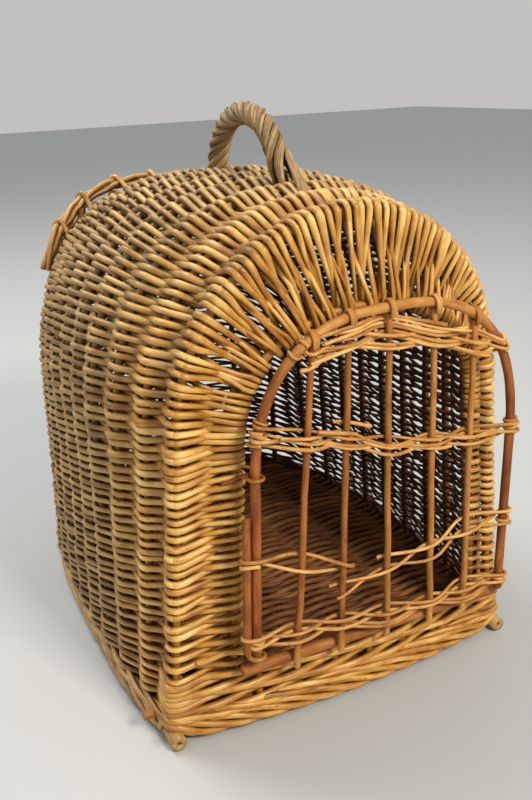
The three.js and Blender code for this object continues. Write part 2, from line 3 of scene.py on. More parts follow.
import bpy
import numpy as np
from mathutils import Matrix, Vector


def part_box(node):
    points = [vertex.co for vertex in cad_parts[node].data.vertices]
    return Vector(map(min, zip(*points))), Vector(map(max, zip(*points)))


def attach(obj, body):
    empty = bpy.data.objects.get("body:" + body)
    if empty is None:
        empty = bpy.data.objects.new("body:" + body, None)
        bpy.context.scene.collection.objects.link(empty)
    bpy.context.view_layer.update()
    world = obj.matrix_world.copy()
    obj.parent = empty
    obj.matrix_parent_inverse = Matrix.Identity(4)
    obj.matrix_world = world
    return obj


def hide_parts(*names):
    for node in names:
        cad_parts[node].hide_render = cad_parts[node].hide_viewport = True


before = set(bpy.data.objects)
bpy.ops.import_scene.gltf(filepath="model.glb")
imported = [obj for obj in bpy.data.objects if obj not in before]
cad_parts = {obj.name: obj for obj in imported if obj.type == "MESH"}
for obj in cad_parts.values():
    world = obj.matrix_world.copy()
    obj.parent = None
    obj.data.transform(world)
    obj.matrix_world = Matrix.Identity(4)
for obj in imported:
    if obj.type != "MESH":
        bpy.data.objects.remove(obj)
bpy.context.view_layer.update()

rng = np.random.default_rng(11)

# Millimetres in the part's working frame: y = 0 outside the front corners, the front faces -Y.
MM = 0.001
MIDDLE_Z = 150
AXIS_ENDS = (60, 300)

# Base
WALL_FOOT = 24.6
FLOOR_Z = 18.3
RUNNER_R = 6
RUNNER_X = 147
RUNNER_OVERHANG = 6
RAIL_R = 3.5
FOOT_FLARE = 6

# Plan of the wall
FRONT_Y = 7
FRONT_HALF = 143
FRONT_BULGE = 12.5
WIDEST_Y = 125
BODY_HALF = 159
REAR_Y = 408
PLAN_POWER = 3.4

# Hoops: number 0 stands at the front corners
LAST_HOOP = 9
FIRST_HOOP_Y = 42
LAST_HOOP_Y = 325
RIDGE_FRONT = 373
RIDGE_TOP = 380
RIDGE_REAR = 353
CORNER_SPRING = 236
BODY_SPRING = 190
CORNER_LEAN = 0.883
BODY_LEAN = 0.957
CORNER_POWER = 1.95
BODY_POWER = 2.7
REAR_POWER = 2.25
REAR_POWER_FROM = 150
REAR_FAN = 30
FAN_POWER = 1.9

# Rear border and stakes
BORDER_FROM = 287
BORDER_TOP = 361
BORDER_BEHIND = 6.5
BORDER_BULGE = 51
REAR_STAKES = 7
STAKE_BELOW = 7
LEG_BELOW = 8

# Doorway and sill
DOORWAY_X = 11
DOORWAY_HALF = 100
DOORWAY_FOOT_HALF = 111
DOORWAY_SPRING = 219
DOORWAY_TOP = 309
DOORWAY_POWER = 2.25
SILL_TOP = 56

# Door
DOOR_X = 21
DOOR_Y = -25.5
DOOR_HALF = 107
DOOR_FOOT_HALF = 108
DOOR_SPRING = 194
DOOR_TOP = 311
DOOR_POWER = 2.6
DOOR_SWAY = 4
DOOR_FEET = [72, 62]
DOOR_R = 3.5
BAR_R = 2.4
BAR_FOOT = 53
BARS_AT_FOOT = [-59.5, -22, 18, 58, 90]
BARS_AT_TOP = [-41, -13, 18, 55, 90]
BAR_GOLD = [0.25, 0.35, 0.65, 0.75, 0.7]
TONGUE_GOLD = [0.85, 0.9, 1, 1, 0.4]
RAIL_ENDS = [60, 55]
DOOR_RAIL_R = 4.35
DOOR_RAIL_BEHIND = 7.7
DOOR_RAIL_PAST = 4
SPARE_BESIDE = 7.2
SPARE_R = 3
SPARE_ENDS = [79, 183]

# Handle
HANDLE_FRONT = 86.4
HANDLE_REAR = 205.5
HANDLE_FOOT = 367.5
HANDLE_TOP = 430
HANDLE_POWER = 2.2

# Rods
STICK_R = 3.2
WEAVER_R = 1.95
ROW_PITCH = 3.3
RIDGE_PITCH = 1.1
REACH = STICK_R + WEAVER_R

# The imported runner's front end gives the shift between the two frames.
SHIFT_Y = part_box("left_runner")[0][1] / MM + RUNNER_OVERHANG


def mix(a, b, share):
    return a + (b - a) * share


def unit(v):
    v = np.asarray(v, float)
    return v / np.maximum(np.linalg.norm(v, axis=-1, keepdims=True), 1e-9)


def smooth(x, low, high):
    share = np.clip((x - low) / (high - low), 0, 1)
    return share * share * (3 - 2 * share)


def wander(size, count):
    """A small smooth wandering, so that no two rods lie alike."""
    return np.convolve(rng.normal(0, size, count + 2), [0.25, 0.5, 0.25], "valid")


def numbered(stem, count):
    return [f"{stem}_{i}" for i in range(1, count + 1)]


class Path:
    """A line through points that can be asked for places by length."""

    def __init__(self, points):
        self.points = np.asarray(points, float)
        steps = np.linalg.norm(np.diff(self.points, axis=0), axis=1)
        self.s = np.concatenate([[0], np.cumsum(steps)])
        self.length = self.s[-1]

    def at(self, s):
        return np.stack([np.interp(s, self.s, self.points[:, i]) for i in range(3)], axis=-1)

    def along(self, s):
        s = np.clip(s, 0.6, self.length - 0.6)
        return unit(self.at(s + 0.5) - self.at(s - 0.5))

    def steps(self, count):
        return self.at(np.linspace(0, self.length, count))


def spline(keys, steps):
    """A smooth curve through key points."""
    k = np.asarray(keys, float)
    p = np.vstack([2 * k[0] - k[1], k, 2 * k[-1] - k[-2]])
    t = np.linspace(0, 1, steps, endpoint=False)[:, None]
    runs = []
    for a, b, c, d in zip(p, p[1:], p[2:], p[3:]):
        bend = (2 * a - 5 * b + 4 * c - d) * t**2 + (3 * b - a - 3 * c + d) * t**3
        runs.append(0.5 * (2 * b + (c - a) * t + bend))
    return np.vstack([*runs, k[-1:]])


def away(points):
    """Direction to the wall from the basket's middle line."""
    points = np.asarray(points, float)
    axis_y = np.clip(points[:, 1], *AXIS_ENDS)
    axis = np.stack([points[:, 0] * 0, axis_y, points[:, 0] * 0 + MIDDLE_Z], axis=1)
    return unit(points - axis)


# Rod ends: a small dome, or a cut face with a hollow pith
END_SIZE = 0.72
END_DOME = 0.3
PITH_SIZE = 0.3
PITH_DEPTH = 2.0
PITH_TONE = -0.6

# Grain, and painted shade on rod faces turned sideways and on those that look into the basket
GRAIN_RANGE = 900
PAINTED_SHADE_FROM = 0.46
PAINTED_SHADE_GAIN = 0.95


class Rods:
    """Many rods in one mesh. Each point keeps its place on its rod for the grain, how pale it is (with
    painted highlight and painted shade along the weave), how much gold it has (own gold and painted warm
    front light), and how much painted shade it takes where it turns sideways or faces into the basket."""

    def __init__(self):
        self.points = []
        self.faces = []
        self.grain = []
        self.tone = []
        self.warm = []
        self.inner = []
        self.count = 0

    def add(self, path, radius, sides=8, tone=None, flat=1.0, side=None, pith=False, warm=0.0, out=None):
        path = np.asarray(path, float)
        count = len(path)
        along = unit(np.gradient(path, axis=0))
        first = np.array([0.31, 0.2, 0.93]) if side is None else np.asarray(side, float)
        across = []
        for t in along:
            first = first - t * (first @ t)
            first = first / max(math.sqrt(first @ first), 1e-9)
            across.append(first)
        across = np.array(across)
        other = np.cross(along, across)
        angle = np.arange(sides) * 2 * math.pi / sides
        r = np.broadcast_to(np.asarray(radius, float), (count,))
        cosine = np.cos(angle)[None, :, None]
        sine = np.sin(angle)[None, :, None]
        ring = cosine * across[:, None] + flat * sine * other[:, None]
        tube = path[:, None] + r[:, None, None] * ring
        head = [path[0] + (tube[0] - path[0]) * END_SIZE - along[0] * r[0] * END_DOME]
        if pith:
            hole = path[0] + (tube[0] - path[0]) * PITH_SIZE
            head = [hole + along[0] * PITH_DEPTH, hole]
        end = path[-1] + (tube[-1] - path[-1]) * END_SIZE + along[-1] * r[-1] * END_DOME
        rings = np.array([*head, *tube, end])
        steps = np.linalg.norm(np.diff(rings.mean(1), axis=0), axis=1)
        place = np.empty_like(rings)
        place[..., 0] = np.cos(angle) * r.mean()
        place[..., 1] = np.sin(angle) * r.mean()
        place[..., 2] = np.concatenate([[0], np.cumsum(steps)])[:, None] + rng.uniform(0, GRAIN_RANGE)

        def spread(value):
            values = np.broadcast_to(np.asarray(value, float), (count,))
            values = np.concatenate([[values[0]] * len(head), values, [values[-1]]])
            return np.repeat(values, sides)

        shades = spread(rng.uniform(0, 1) if tone is None else tone)
        if pith:
            shades[:sides] = PITH_TONE
        # Painted shade: faces of a rod that turn sideways or into the basket get darker, kept as the
        # inner attribute
        painted_shade = np.zeros((count, sides))
        if out is not None:
            facing = np.sum(ring * np.asarray(out)[:, None], axis=2)
            painted_shade = np.clip(PAINTED_SHADE_FROM - PAINTED_SHADE_GAIN * facing, 0, 1)
        painted_shade = np.vstack([painted_shade[:1]] * len(head) + [painted_shade, painted_shade[-1:]])
        self.points.append(rings.reshape(-1, 3))
        self.grain.append(place.reshape(-1, 3))
        self.tone.append(shades)
        self.warm.append(spread(warm))
        self.inner.append(painted_shade.ravel())
        total = len(rings)
        corner = np.arange(sides)
        start = np.arange(total - 1)[:, None] * sides
        a = (start + corner).ravel() + self.count
        b = (start + (corner + 1) % sides).ravel() + self.count
        self.faces += np.stack([a, b, b + sides, a + sides], axis=1).tolist()
        self.faces.append([self.count + i for i in reversed(range(sides))])
        last_ring = self.count + (total - 1) * sides
        self.faces.append([last_ring + i for i in range(sides)])
        self.count += total * sides


def make(name, rods, body, slot, *nodes, look=None):
    """One piece on its body, in place of the nodes that it stands for."""
    mesh = bpy.data.meshes.new(name)
    points = (np.vstack(rods.points) + [0, SHIFT_Y, 0]) * MM
    mesh.from_pydata(points.tolist(), [], rods.faces)
    grain = mesh.attributes.new("grain", "FLOAT_VECTOR", "POINT")
    grain.data.foreach_set("vector", np.vstack(rods.grain).ravel())
    # The inner attribute holds the painted shade on rod sides and inward faces
    for title in ("tone", "warm", "inner"):
        attribute = mesh.attributes.new(title, "FLOAT", "POINT")
        attribute.data.foreach_set("value", np.concatenate(getattr(rods, title)))
    mesh.shade_smooth()
    mesh.materials.append(willows[look or slot])
    piece = bpy.data.objects.new(name, mesh)
    bpy.context.scene.collection.objects.link(piece)
    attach(piece, body)
    if nodes:
        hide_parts(*nodes)


# Materials: each palette runs from dark to pale
KHAKI = [(0.12, 0.055, 0.01), (0.43, 0.27, 0.085), (0.68, 0.48, 0.18)]
HONEY = [(0.23, 0.07, 0.006), (0.55, 0.26, 0.037), (0.98, 0.66, 0.21)]
BROWN = [(0.1, 0.026, 0.004), (0.3, 0.085, 0.013), (0.55, 0.21, 0.055)]
GOLD = [(0.22, 0.075, 0.01), (0.49, 0.225, 0.045), (0.76, 0.43, 0.13)]
PALE_GOLD = [(0.3, 0.1, 0.016), (0.6, 0.3, 0.075), (0.88, 0.56, 0.2)]
STRAW = [(0.08, 0.042, 0.013), (0.3, 0.2, 0.085), (0.56, 0.41, 0.2)]
DARK_BROWN = [(0.05, 0.014, 0.003), (0.165, 0.052, 0.014), (0.37, 0.14, 0.042)]
# Painted shade: a warm brown that darkens rod sides and faces turned into the basket
PAINTED_SHADE_TINT = (0.24, 0.1, 0.025, 1)
STAIN_TINT = (0.7, 0.47, 0.3, 1)
MIDDLE_STOP = 0.45
ROD_TONE = 0.55

# Noise: its stretch per millimetre across and along the rod, its detail and its roughness
FIBRE = ((1.6, 1.6, 0.045), 4.0, 0.65)
BLOTCH = ((0.12, 0.12, 0.04), 3.0, 0.6)
STAIN = ((0.16, 0.16, 0.055), 3.0, 0.6)
KNOT = ((0.35, 0.35, 0.16), 1.0, 0.5)

# From where a noise counts, and how much
FIBRE_COUNTS = (0.5, 0.8)
BLOTCH_COUNTS = (0.34, 1.15)
STAIN_COUNTS = (0.5, 4.0)
KNOT_COUNTS = (0.7, 3.5)
STAIN_MOST = 0.85
ROUGH_GAIN = 0.3


def willow(name, cool, gold, rough, coat):
    """Willow rod: colour by rod, blotches and stains along it, fine fibres and a few dark knots, then
    painted shade on the rod's sides and on faces turned into the basket.
    """
    material = bpy.data.materials.new(name)
    material.use_nodes = True
    tree = material.node_tree

    def feed(node, inputs):
        for title, value in inputs.items():
            if isinstance(value, bpy.types.NodeSocket):
                tree.links.new(value, node.inputs[title])
            else:
                node.inputs[title].default_value = value

    def made(kind, inputs, **settings):
        node = tree.nodes.new(kind)
        for title, value in settings.items():
            setattr(node, title, value)
        feed(node, inputs)
        return node

    def attribute(title, output="Fac"):
        return made("ShaderNodeAttribute", {}, attribute_name=title).outputs[output]

    def maths(operation, first, second):
        return made("ShaderNodeMath", {0: first, 1: second}, operation=operation).outputs[0]

    def scaled(value, middle, gain):
        return maths("MULTIPLY", maths("SUBTRACT", value, middle), gain)

    def above(value, limit, gain):
        return maths("MULTIPLY", maths("MAXIMUM", maths("SUBTRACT", value, limit), 0.0), gain)

    def noise(stretch, detail, roughness):
        stretched = made("ShaderNodeVectorMath", {0: place, 1: stretch}, operation="MULTIPLY")
        inputs = {"Vector": stretched.outputs[0], "Scale": 1.0, "Detail": detail, "Roughness": roughness}
        return made("ShaderNodeTexNoise", inputs).outputs["Fac"]

    def ramp(colours):
        node = made("ShaderNodeValToRGB", {"Fac": tone})
        stops = node.color_ramp.elements
        stops[0].position = 0.0
        stops[0].color = (*colours[0], 1)
        stops[1].position = 1.0
        stops[1].color = (*colours[2], 1)
        stops.new(MIDDLE_STOP).color = (*colours[1], 1)
        return node.outputs["Color"]

    def blended(kind, share, first, second):
        inputs = {"Fac": share, "Color1": first, "Color2": second}
        return made("ShaderNodeMixRGB", inputs, blend_type=kind).outputs["Color"]

    place = attribute("grain", "Vector")
    fibre = noise(*FIBRE)
    tone = maths("MULTIPLY", attribute("tone"), ROD_TONE)
    tone = maths("ADD", tone, scaled(noise(*BLOTCH), *BLOTCH_COUNTS))
    tone = maths("ADD", tone, scaled(fibre, *FIBRE_COUNTS))
    tone = maths("SUBTRACT", tone, above(noise(*KNOT), *KNOT_COUNTS))
    stained = maths("MINIMUM", above(noise(*STAIN), *STAIN_COUNTS), STAIN_MOST)
    # The warm share picks the gold palette: own gold, and on the walls and front also painted warm front
    # light
    colour = blended("MIX", attribute("warm"), ramp(cool), ramp(gold))
    colour = blended("MULTIPLY", stained, colour, STAIN_TINT)
    # Painted shade on rod sides and inward faces
    colour = blended("MULTIPLY", attribute("inner"), colour, PAINTED_SHADE_TINT)
    relief = made("ShaderNodeBump", {"Strength": 0.45, "Distance": 0.0004, "Height": fibre})
    looks = {
        "Base Color": colour,
        "Roughness": maths("ADD", maths("MULTIPLY", fibre, ROUGH_GAIN), rough - ROUGH_GAIN / 2),
        "Normal": relief.outputs["Normal"],
        "Specular IOR Level": 0.35,
        "Coat Weight": coat,
        "Coat Roughness": 0.3,
    }
    feed(tree.nodes["Principled BSDF"], looks)
    return material


# By slot: dull and gold palettes, roughness and coat; on the walls and front the gold palette's share is
# partly painted warm front light
LOOKS = {
    "side_willow": (KHAKI, HONEY, 0.45, 0.2),
    "front_willow": (KHAKI, HONEY, 0.38, 0.4),
    "door_willow": (BROWN, GOLD, 0.6, 0.0),
    "band_willow": (PALE_GOLD, HONEY, 0.45, 0.15),
    "handle_willow": (STRAW, HONEY, 0.55, 0.0),
    "base_willow": (DARK_BROWN, GOLD, 0.55, 0.0),
}
willows = {slot: willow(slot, *look) for slot, look in LOOKS.items()}


# Shape of the basket: middle of the woven wall
LEG_STEPS = 12
ARCH_STEPS = 60
FOOT_STEPS = 161
STAKE_STEPS = 25


def arch(foot, foot_half, spring, spring_half, top, power):
    """Leaning legs and a superellipse above them, from left to right."""
    share = np.linspace(0, 1, LEG_STEPS, endpoint=False)
    angle = np.linspace(0, math.pi / 2, ARCH_STEPS)
    over_spring = spring_half * np.cos(angle).clip(0) ** (2 / power)
    x = np.concatenate([mix(foot_half, spring_half, share), over_spring])
    z = np.concatenate([mix(foot, spring, share), mix(spring, top, np.sin(angle) ** (2 / power))])
    return np.concatenate([-x, x[-2::-1]]), np.concatenate([z, z[-2::-1]])


def plan_half(y):
    front = mix(FRONT_HALF, BODY_HALF, np.sin(math.pi / 2 * (y - FRONT_Y) / (WIDEST_Y - FRONT_Y)))
    share = np.clip((y - WIDEST_Y) / (REAR_Y - WIDEST_Y), 0, 1)
    rear = BODY_HALF * (1 - share**PLAN_POWER) ** (1 / PLAN_POWER)
    return np.where(y < WIDEST_Y, front, rear)


def flare_at(y):
    """How far the foot of the wall stands out, from the front to the widest place."""
    return FOOT_FLARE * (1 - smooth(y, FRONT_Y, WIDEST_Y))


def ridge(y):
    middle = LAST_HOOP_Y / 2
    return mix(RIDGE_TOP, RIDGE_FRONT if y < middle else RIDGE_REAR, ((y - middle) / middle) ** 2)


def front_y(x):
    return FRONT_Y - FRONT_BULGE * (1 - (x / FRONT_HALF) ** 2)


def front_normal(x):
    slope = 2 * FRONT_BULGE * x / FRONT_HALF**2
    return unit(np.stack([slope, -np.ones_like(x), np.zeros_like(x)], axis=-1))


def hoop_path(number):
    y = FRONT_Y if number == 0 else mix(FIRST_HOOP_Y, LAST_HOOP_Y, (number - 1) / (LAST_HOOP - 1))
    change = smooth(y, FRONT_Y, WIDEST_Y)
    half = float(plan_half(y))
    power = mix(CORNER_POWER, BODY_POWER, change)
    power = mix(power, REAR_POWER, smooth(y, REAR_POWER_FROM, LAST_HOOP_Y))
    spring = mix(CORNER_SPRING, BODY_SPRING, change)
    x, z = arch(WALL_FOOT, half, spring, half * mix(CORNER_LEAN, BODY_LEAN, change), ridge(y), power)
    fan = mix(-FRONT_BULGE, REAR_FAN, (number / LAST_HOOP) ** FAN_POWER)
    return Path(np.stack([x, y + fan * (1 - (x / half) ** 2), z], axis=-1))


def doorway_path():
    x, z = arch(WALL_FOOT, DOORWAY_FOOT_HALF, DOORWAY_SPRING, DOORWAY_HALF, DOORWAY_TOP, DOORWAY_POWER)
    return Path(np.stack([DOORWAY_X + x, front_y(DOORWAY_X + x), z], axis=-1))


hoops = [hoop_path(number) for number in range(LAST_HOOP + 1)]
last = hoops[LAST_HOOP]
doorway = doorway_path()

# Rows along the hoops: close at the foot, a little looser towards the ridge
SAMPLES = 400
LOOSER_AT = (0.25, 0.9)
along_half = np.linspace(0, 1, SAMPLES)
row_pitch = ROW_PITCH * mix(1, RIDGE_PITCH, smooth(along_half, *LOOSER_AT))
half_length = np.mean([hoop.length for hoop in hoops]) / 2
packed = np.cumsum(half_length / SAMPLES / row_pitch)
half_rows = int(packed[-1])
half_share = np.interp(np.arange(half_rows) + 0.5, packed * half_rows / packed[-1], along_half) / 2
row_share = np.concatenate([half_share, [0.5], 1 - half_share[::-1]])
rows = len(row_share)
from_foot = 2 * half_length * np.minimum(row_share, 1 - row_share)

# The rows climb towards the corner hoop, and a little more to the doorway
CLIMB_TO_CORNER = [15, 8, 3, 1, 0, 0, 0, 0, 0, 0]
CLIMB_TO_DOORWAY = 19
CLIMB_AT = (10, 75)
CLIMB_FADES = 270
WALL_LEVEL = 165
JAMB_LEVEL = 190
JITTER = (0.4, 3.4)
JITTER_AT = (290, 360)


def row_places(hoop, climb, level):
    """Where the rows cross a hoop: level on its legs, then shared out over its arch."""
    fade = 1 - smooth(from_foot, CLIMB_FADES, half_length)
    lift = climb * smooth(from_foot, *CLIMB_AT) * fade
    place = np.interp(from_foot + lift, [0, level, half_length], [0, level, hoop.length / 2])
    return np.where(row_share < 0.5, place, hoop.length - place)


# Where each row crosses each hoop, with the wall's outward direction there
hoop_places = [row_places(hoop, climb, WALL_LEVEL) for hoop, climb in zip(hoops, CLIMB_TO_CORNER)]
cross = np.array([hoop.at(place) for hoop, place in zip(hoops, hoop_places)])
up_hoop = np.array([hoop.along(place) for hoop, place in zip(hoops, hoop_places)])
rearward = unit(np.gradient(cross, axis=0))
outward = unit(np.cross(rearward, up_hoop))
centre = cross * [0, 1, 0] + [0, 0, MIDDLE_Z]
outward *= np.sign(np.sum(outward * (cross - centre), axis=-1))[..., None]
panel = front_normal(cross[0, :, 0])
flank = outward[0].copy()
outward[0] = unit(outward[0] + panel)

# Where each row meets the doorway hoop
on_doorway = row_places(doorway, CLIMB_TO_DOORWAY, JAMB_LEVEL)
on_doorway += rng.normal(0, 1, rows) * mix(*JITTER, smooth(from_foot, *JITTER_AT))
jamb = doorway.at(on_doorway)
jamb_out = front_normal(jamb[:, 0])
jamb_in = unit(np.cross(doorway.along(on_doorway), jamb_out))
to_middle = np.array([DOORWAY_X, 0, MIDDLE_Z]) - jamb
jamb_in *= np.sign(np.sum(jamb_in * to_middle * [1, 0, 1], axis=-1))[:, None]


# Rear wall: stakes from the floor to the border
def border_path():
    half = float(plan_half(LAST_HOOP_Y))
    x, z = arch(WALL_FOOT, half, BODY_SPRING, half * BODY_LEAN, BORDER_TOP, BODY_POWER)
    y = LAST_HOOP_Y + BORDER_BEHIND + BORDER_BULGE * (1 - (x / half) ** 2)
    points = np.stack([x, y, z], axis=-1)
    return Path(points[z > BORDER_FROM])


def rear_foot():
    """The foot of the wall behind the last hoop, from left to right."""
    start = math.asin(((LAST_HOOP_Y - WIDEST_Y) / (REAR_Y - WIDEST_Y)) ** (PLAN_POWER / 2))
    angle = np.linspace(start, math.pi - start, FOOT_STEPS)
    x = -BODY_HALF * np.sign(np.cos(angle)) * np.abs(np.cos(angle)) ** (2 / PLAN_POWER)
    y = mix(WIDEST_Y, REAR_Y, np.sin(angle) ** (2 / PLAN_POWER))
    return Path(np.stack([x, y, np.full_like(x, WALL_FOOT)], axis=-1))


def rear_post(number):
    """A stake from the floor's edge, leaning forward to the border."""
    foot = foot_line.at(foot_line.length * number / (REAR_STAKES + 1))
    top = border.at(border.length * number / (REAR_STAKES + 1)) - [0, 0, STAKE_BELOW]
    share = np.linspace(0, 1, STAKE_STEPS)[:, None]
    return Path(np.hstack([mix(foot[:2], top[:2], share**2), mix(foot[2], top[2], share)]))


border = border_path()
foot_line = rear_foot()
leg = last.points[: np.argmax(last.points[:, 2] > border.points[0, 2] - LEG_BELOW)]
stakes = [rear_post(number) for number in range(1, REAR_STAKES + 1)]
posts = [Path(leg), *stakes, Path(leg * [-1, 1, 1])]
rear_rows = int(np.sum(cross[LAST_HOOP, : rows // 2, 2] < leg[-1, 2]))


# Weaving: a row passes over one hoop and under the next, and the row above it the other way round
SPAN = 2
TAPER = (1.06, 0.94)
KNUCKLE = 5
KNUCKLE_RISE = 0.78
BAY_DIP = 0.3
CORNER_BEND = 3.4
CORNER_PROUD = 0.4
TAIL_TUCK = 4
JAMB_TUCK = 7
WRAP_SHARE = 0.8
ARCH_FROM_Z = 268
ARCH_DROPPED = 0.12
ARCH_STRAY = 2
JAMB_STRAY = 0.5
ARCH_FINE = 0.93
JAMB_FINE = 1.14
ROOF_HOOP = 4
ROOF_FROM_Z = 330
# On the roof the rows keep only part of their gold and painted warm front light
ROOF_GOLD_AND_LIGHT = 0.5
ROOF_GOLD_AND_LIGHT_AT = (230, 330)
FULL_AT = [120, 210, half_length]
FULL = {"left": [1.03, 1.17, 1.17], "right": [0.72, 0.88, 1.17]}

# By hoop, from the front corner to the rear: how much gold (a little own gold, mostly painted warm front
# light), how stout, and how much painted highlight a row gets where it passes over the hoop (painted
# shade where it passes under, and half as much painted shade in the bay's middle)
GOLD_AND_WARM_LIGHT = [0.95, 0.85, 0.26, 0.08, 0, 0, 0, 0, 0, 0]
STOUT = [1.3, 1.18, 1.12, 1.08, 1.05, 1.02, 1, 1, 1, 1]
PAINTED_KNUCKLE_LIGHT = [0.35, 0.45, 0.15, 0.1, 0.1, 0.1, 0.1, 0.1, 0.1, 0.1]


def weaver_radius(count):
    return WEAVER_R * rng.uniform(0.84, 1.16) * np.linspace(*TAPER, count)


def over(row, hoop):
    return 1 if (row + hoop) % 2 == 0 else -1


def key(point, warm, stout=1.0, painted_light=0.0):
    """A point of a row, with how much gold (own gold and painted warm front light), how stout, and its
    painted light: painted highlight over a hoop, painted shade under it.
    """
    return [*point, warm, stout, painted_light]


def tail_keys(row, held):
    """A row's rear end: bent round the last hoop, or tucked in under it."""
    tail = rearward[LAST_HOOP, row]
    inner = outward[LAST_HOOP, row] * REACH
    if over(row, LAST_HOOP) < 0:
        return [key(held - inner + tail * TAIL_TUCK, 0)]
    under = [held - inner - tail * 5, held - inner * WRAP_SHARE + tail * 3]
    return [key(point, 0) for point in (*under, held + tail * REACH)]


def wall_keys(row, spot, reach, gold_and_light):
    """A row's way over and under the hoops, from the last to the first."""
    keys = []
    for hoop in range(LAST_HOOP, 0, -1):
        side = over(row, hoop)
        held = spot[hoop]
        ahead = rearward[hoop, row] * KNUCKLE
        bulge = outward[hoop, row] * reach[hoop] * side
        # Painted highlight where the row passes over the hoop, painted shade where it passes under
        on_hoop = STOUT[hoop], PAINTED_KNUCKLE_LIGHT[hoop] * side
        if hoop < LAST_HOOP:
            keys.append(key(held + bulge * KNUCKLE_RISE + ahead, gold_and_light[hoop], *on_hoop))
        keys.append(key(held + bulge, gold_and_light[hoop], *on_hoop))
        warm = mix(gold_and_light[hoop], gold_and_light[hoop - 1], 0.3)
        keys.append(key(held + bulge * KNUCKLE_RISE - ahead, warm, *on_hoop))
        next_out = flank[row] if hoop == 1 else outward[hoop - 1, row]
        inward = unit(outward[hoop, row] + next_out) * -REACH
        dip = BAY_DIP * rng.uniform(0.2, 1.8) * (2 if hoop == 1 else 1)
        # In the bay's middle: less of the painted warm front light in bay 1's deeper dip, and painted
        # shade at half the hoop's painted highlight
        warm = mix(gold_and_light[hoop], gold_and_light[hoop - 1], 0.5) * (0.6 if hoop == 1 else 1)
        stout = mix(STOUT[hoop], STOUT[hoop - 1], 0.5)
        keys.append(key(mix(held, spot[hoop - 1], 0.5) + inward * dip, warm, stout, -0.5 * PAINTED_KNUCKLE_LIGHT[hoop]))
    return keys


def corner_keys(row, held, reach, side, gold_and_light):
    """A row's bend round the corner hoop, in front of it or behind it."""
    before = held + flank[row] * reach * side + rearward[0, row] * CORNER_BEND
    bend = held + outward[0, row] * (reach + CORNER_PROUD) * side
    # Gold with painted warm front light; painted highlight on the bend in front of the corner hoop,
    # painted shade on the bend behind it
    return [key(before, gold_and_light[1], STOUT[0]), key(bend, gold_and_light[0], STOUT[0], PAINTED_KNUCKLE_LIGHT[0] * side)]


def front_keys(row, held, reach, side, in_arch):
    """A row's way to the doorway hoop: wrapped round it, or tucked in behind it."""
    post = jamb[row]
    proud = jamb_out[row] * REACH
    inner = jamb_in[row] * REACH
    across = unit(post - held)
    after = held + panel[row] * reach * side + across * CORNER_BEND
    half_way = mix(held, post, 0.5)
    half_way[1] = front_y(half_way[0]) + rng.normal(0, 0.5)
    half_way += unit(np.cross(panel[row], across)) * rng.normal(0, ARCH_STRAY if in_arch else JAMB_STRAY)
    fine = ARCH_FINE if in_arch else JAMB_FINE
    # Full gold on the front: own gold and painted warm front light; painted highlight on the bend in
    # front of the corner hoop, painted shade on the bend behind it
    keys = [key(after, 1, STOUT[0], PAINTED_KNUCKLE_LIGHT[0] * side), key(half_way, 1, fine)]
    if side > 0:
        ends = [post - proud * 0.9 - across * 3, post - proud + jamb_in[row] * 2]
        return keys + [key(point, 1) for point in ends]
    wrapped = [post + proud - across * CORNER_BEND, post + proud * WRAP_SHARE + inner * WRAP_SHARE]
    wrapped += [post + inner, post - proud]
    keys += [key(point, 1, fine) for point in wrapped]
    return keys + [key(post - proud - jamb_in[row] * JAMB_TUCK, 1)]


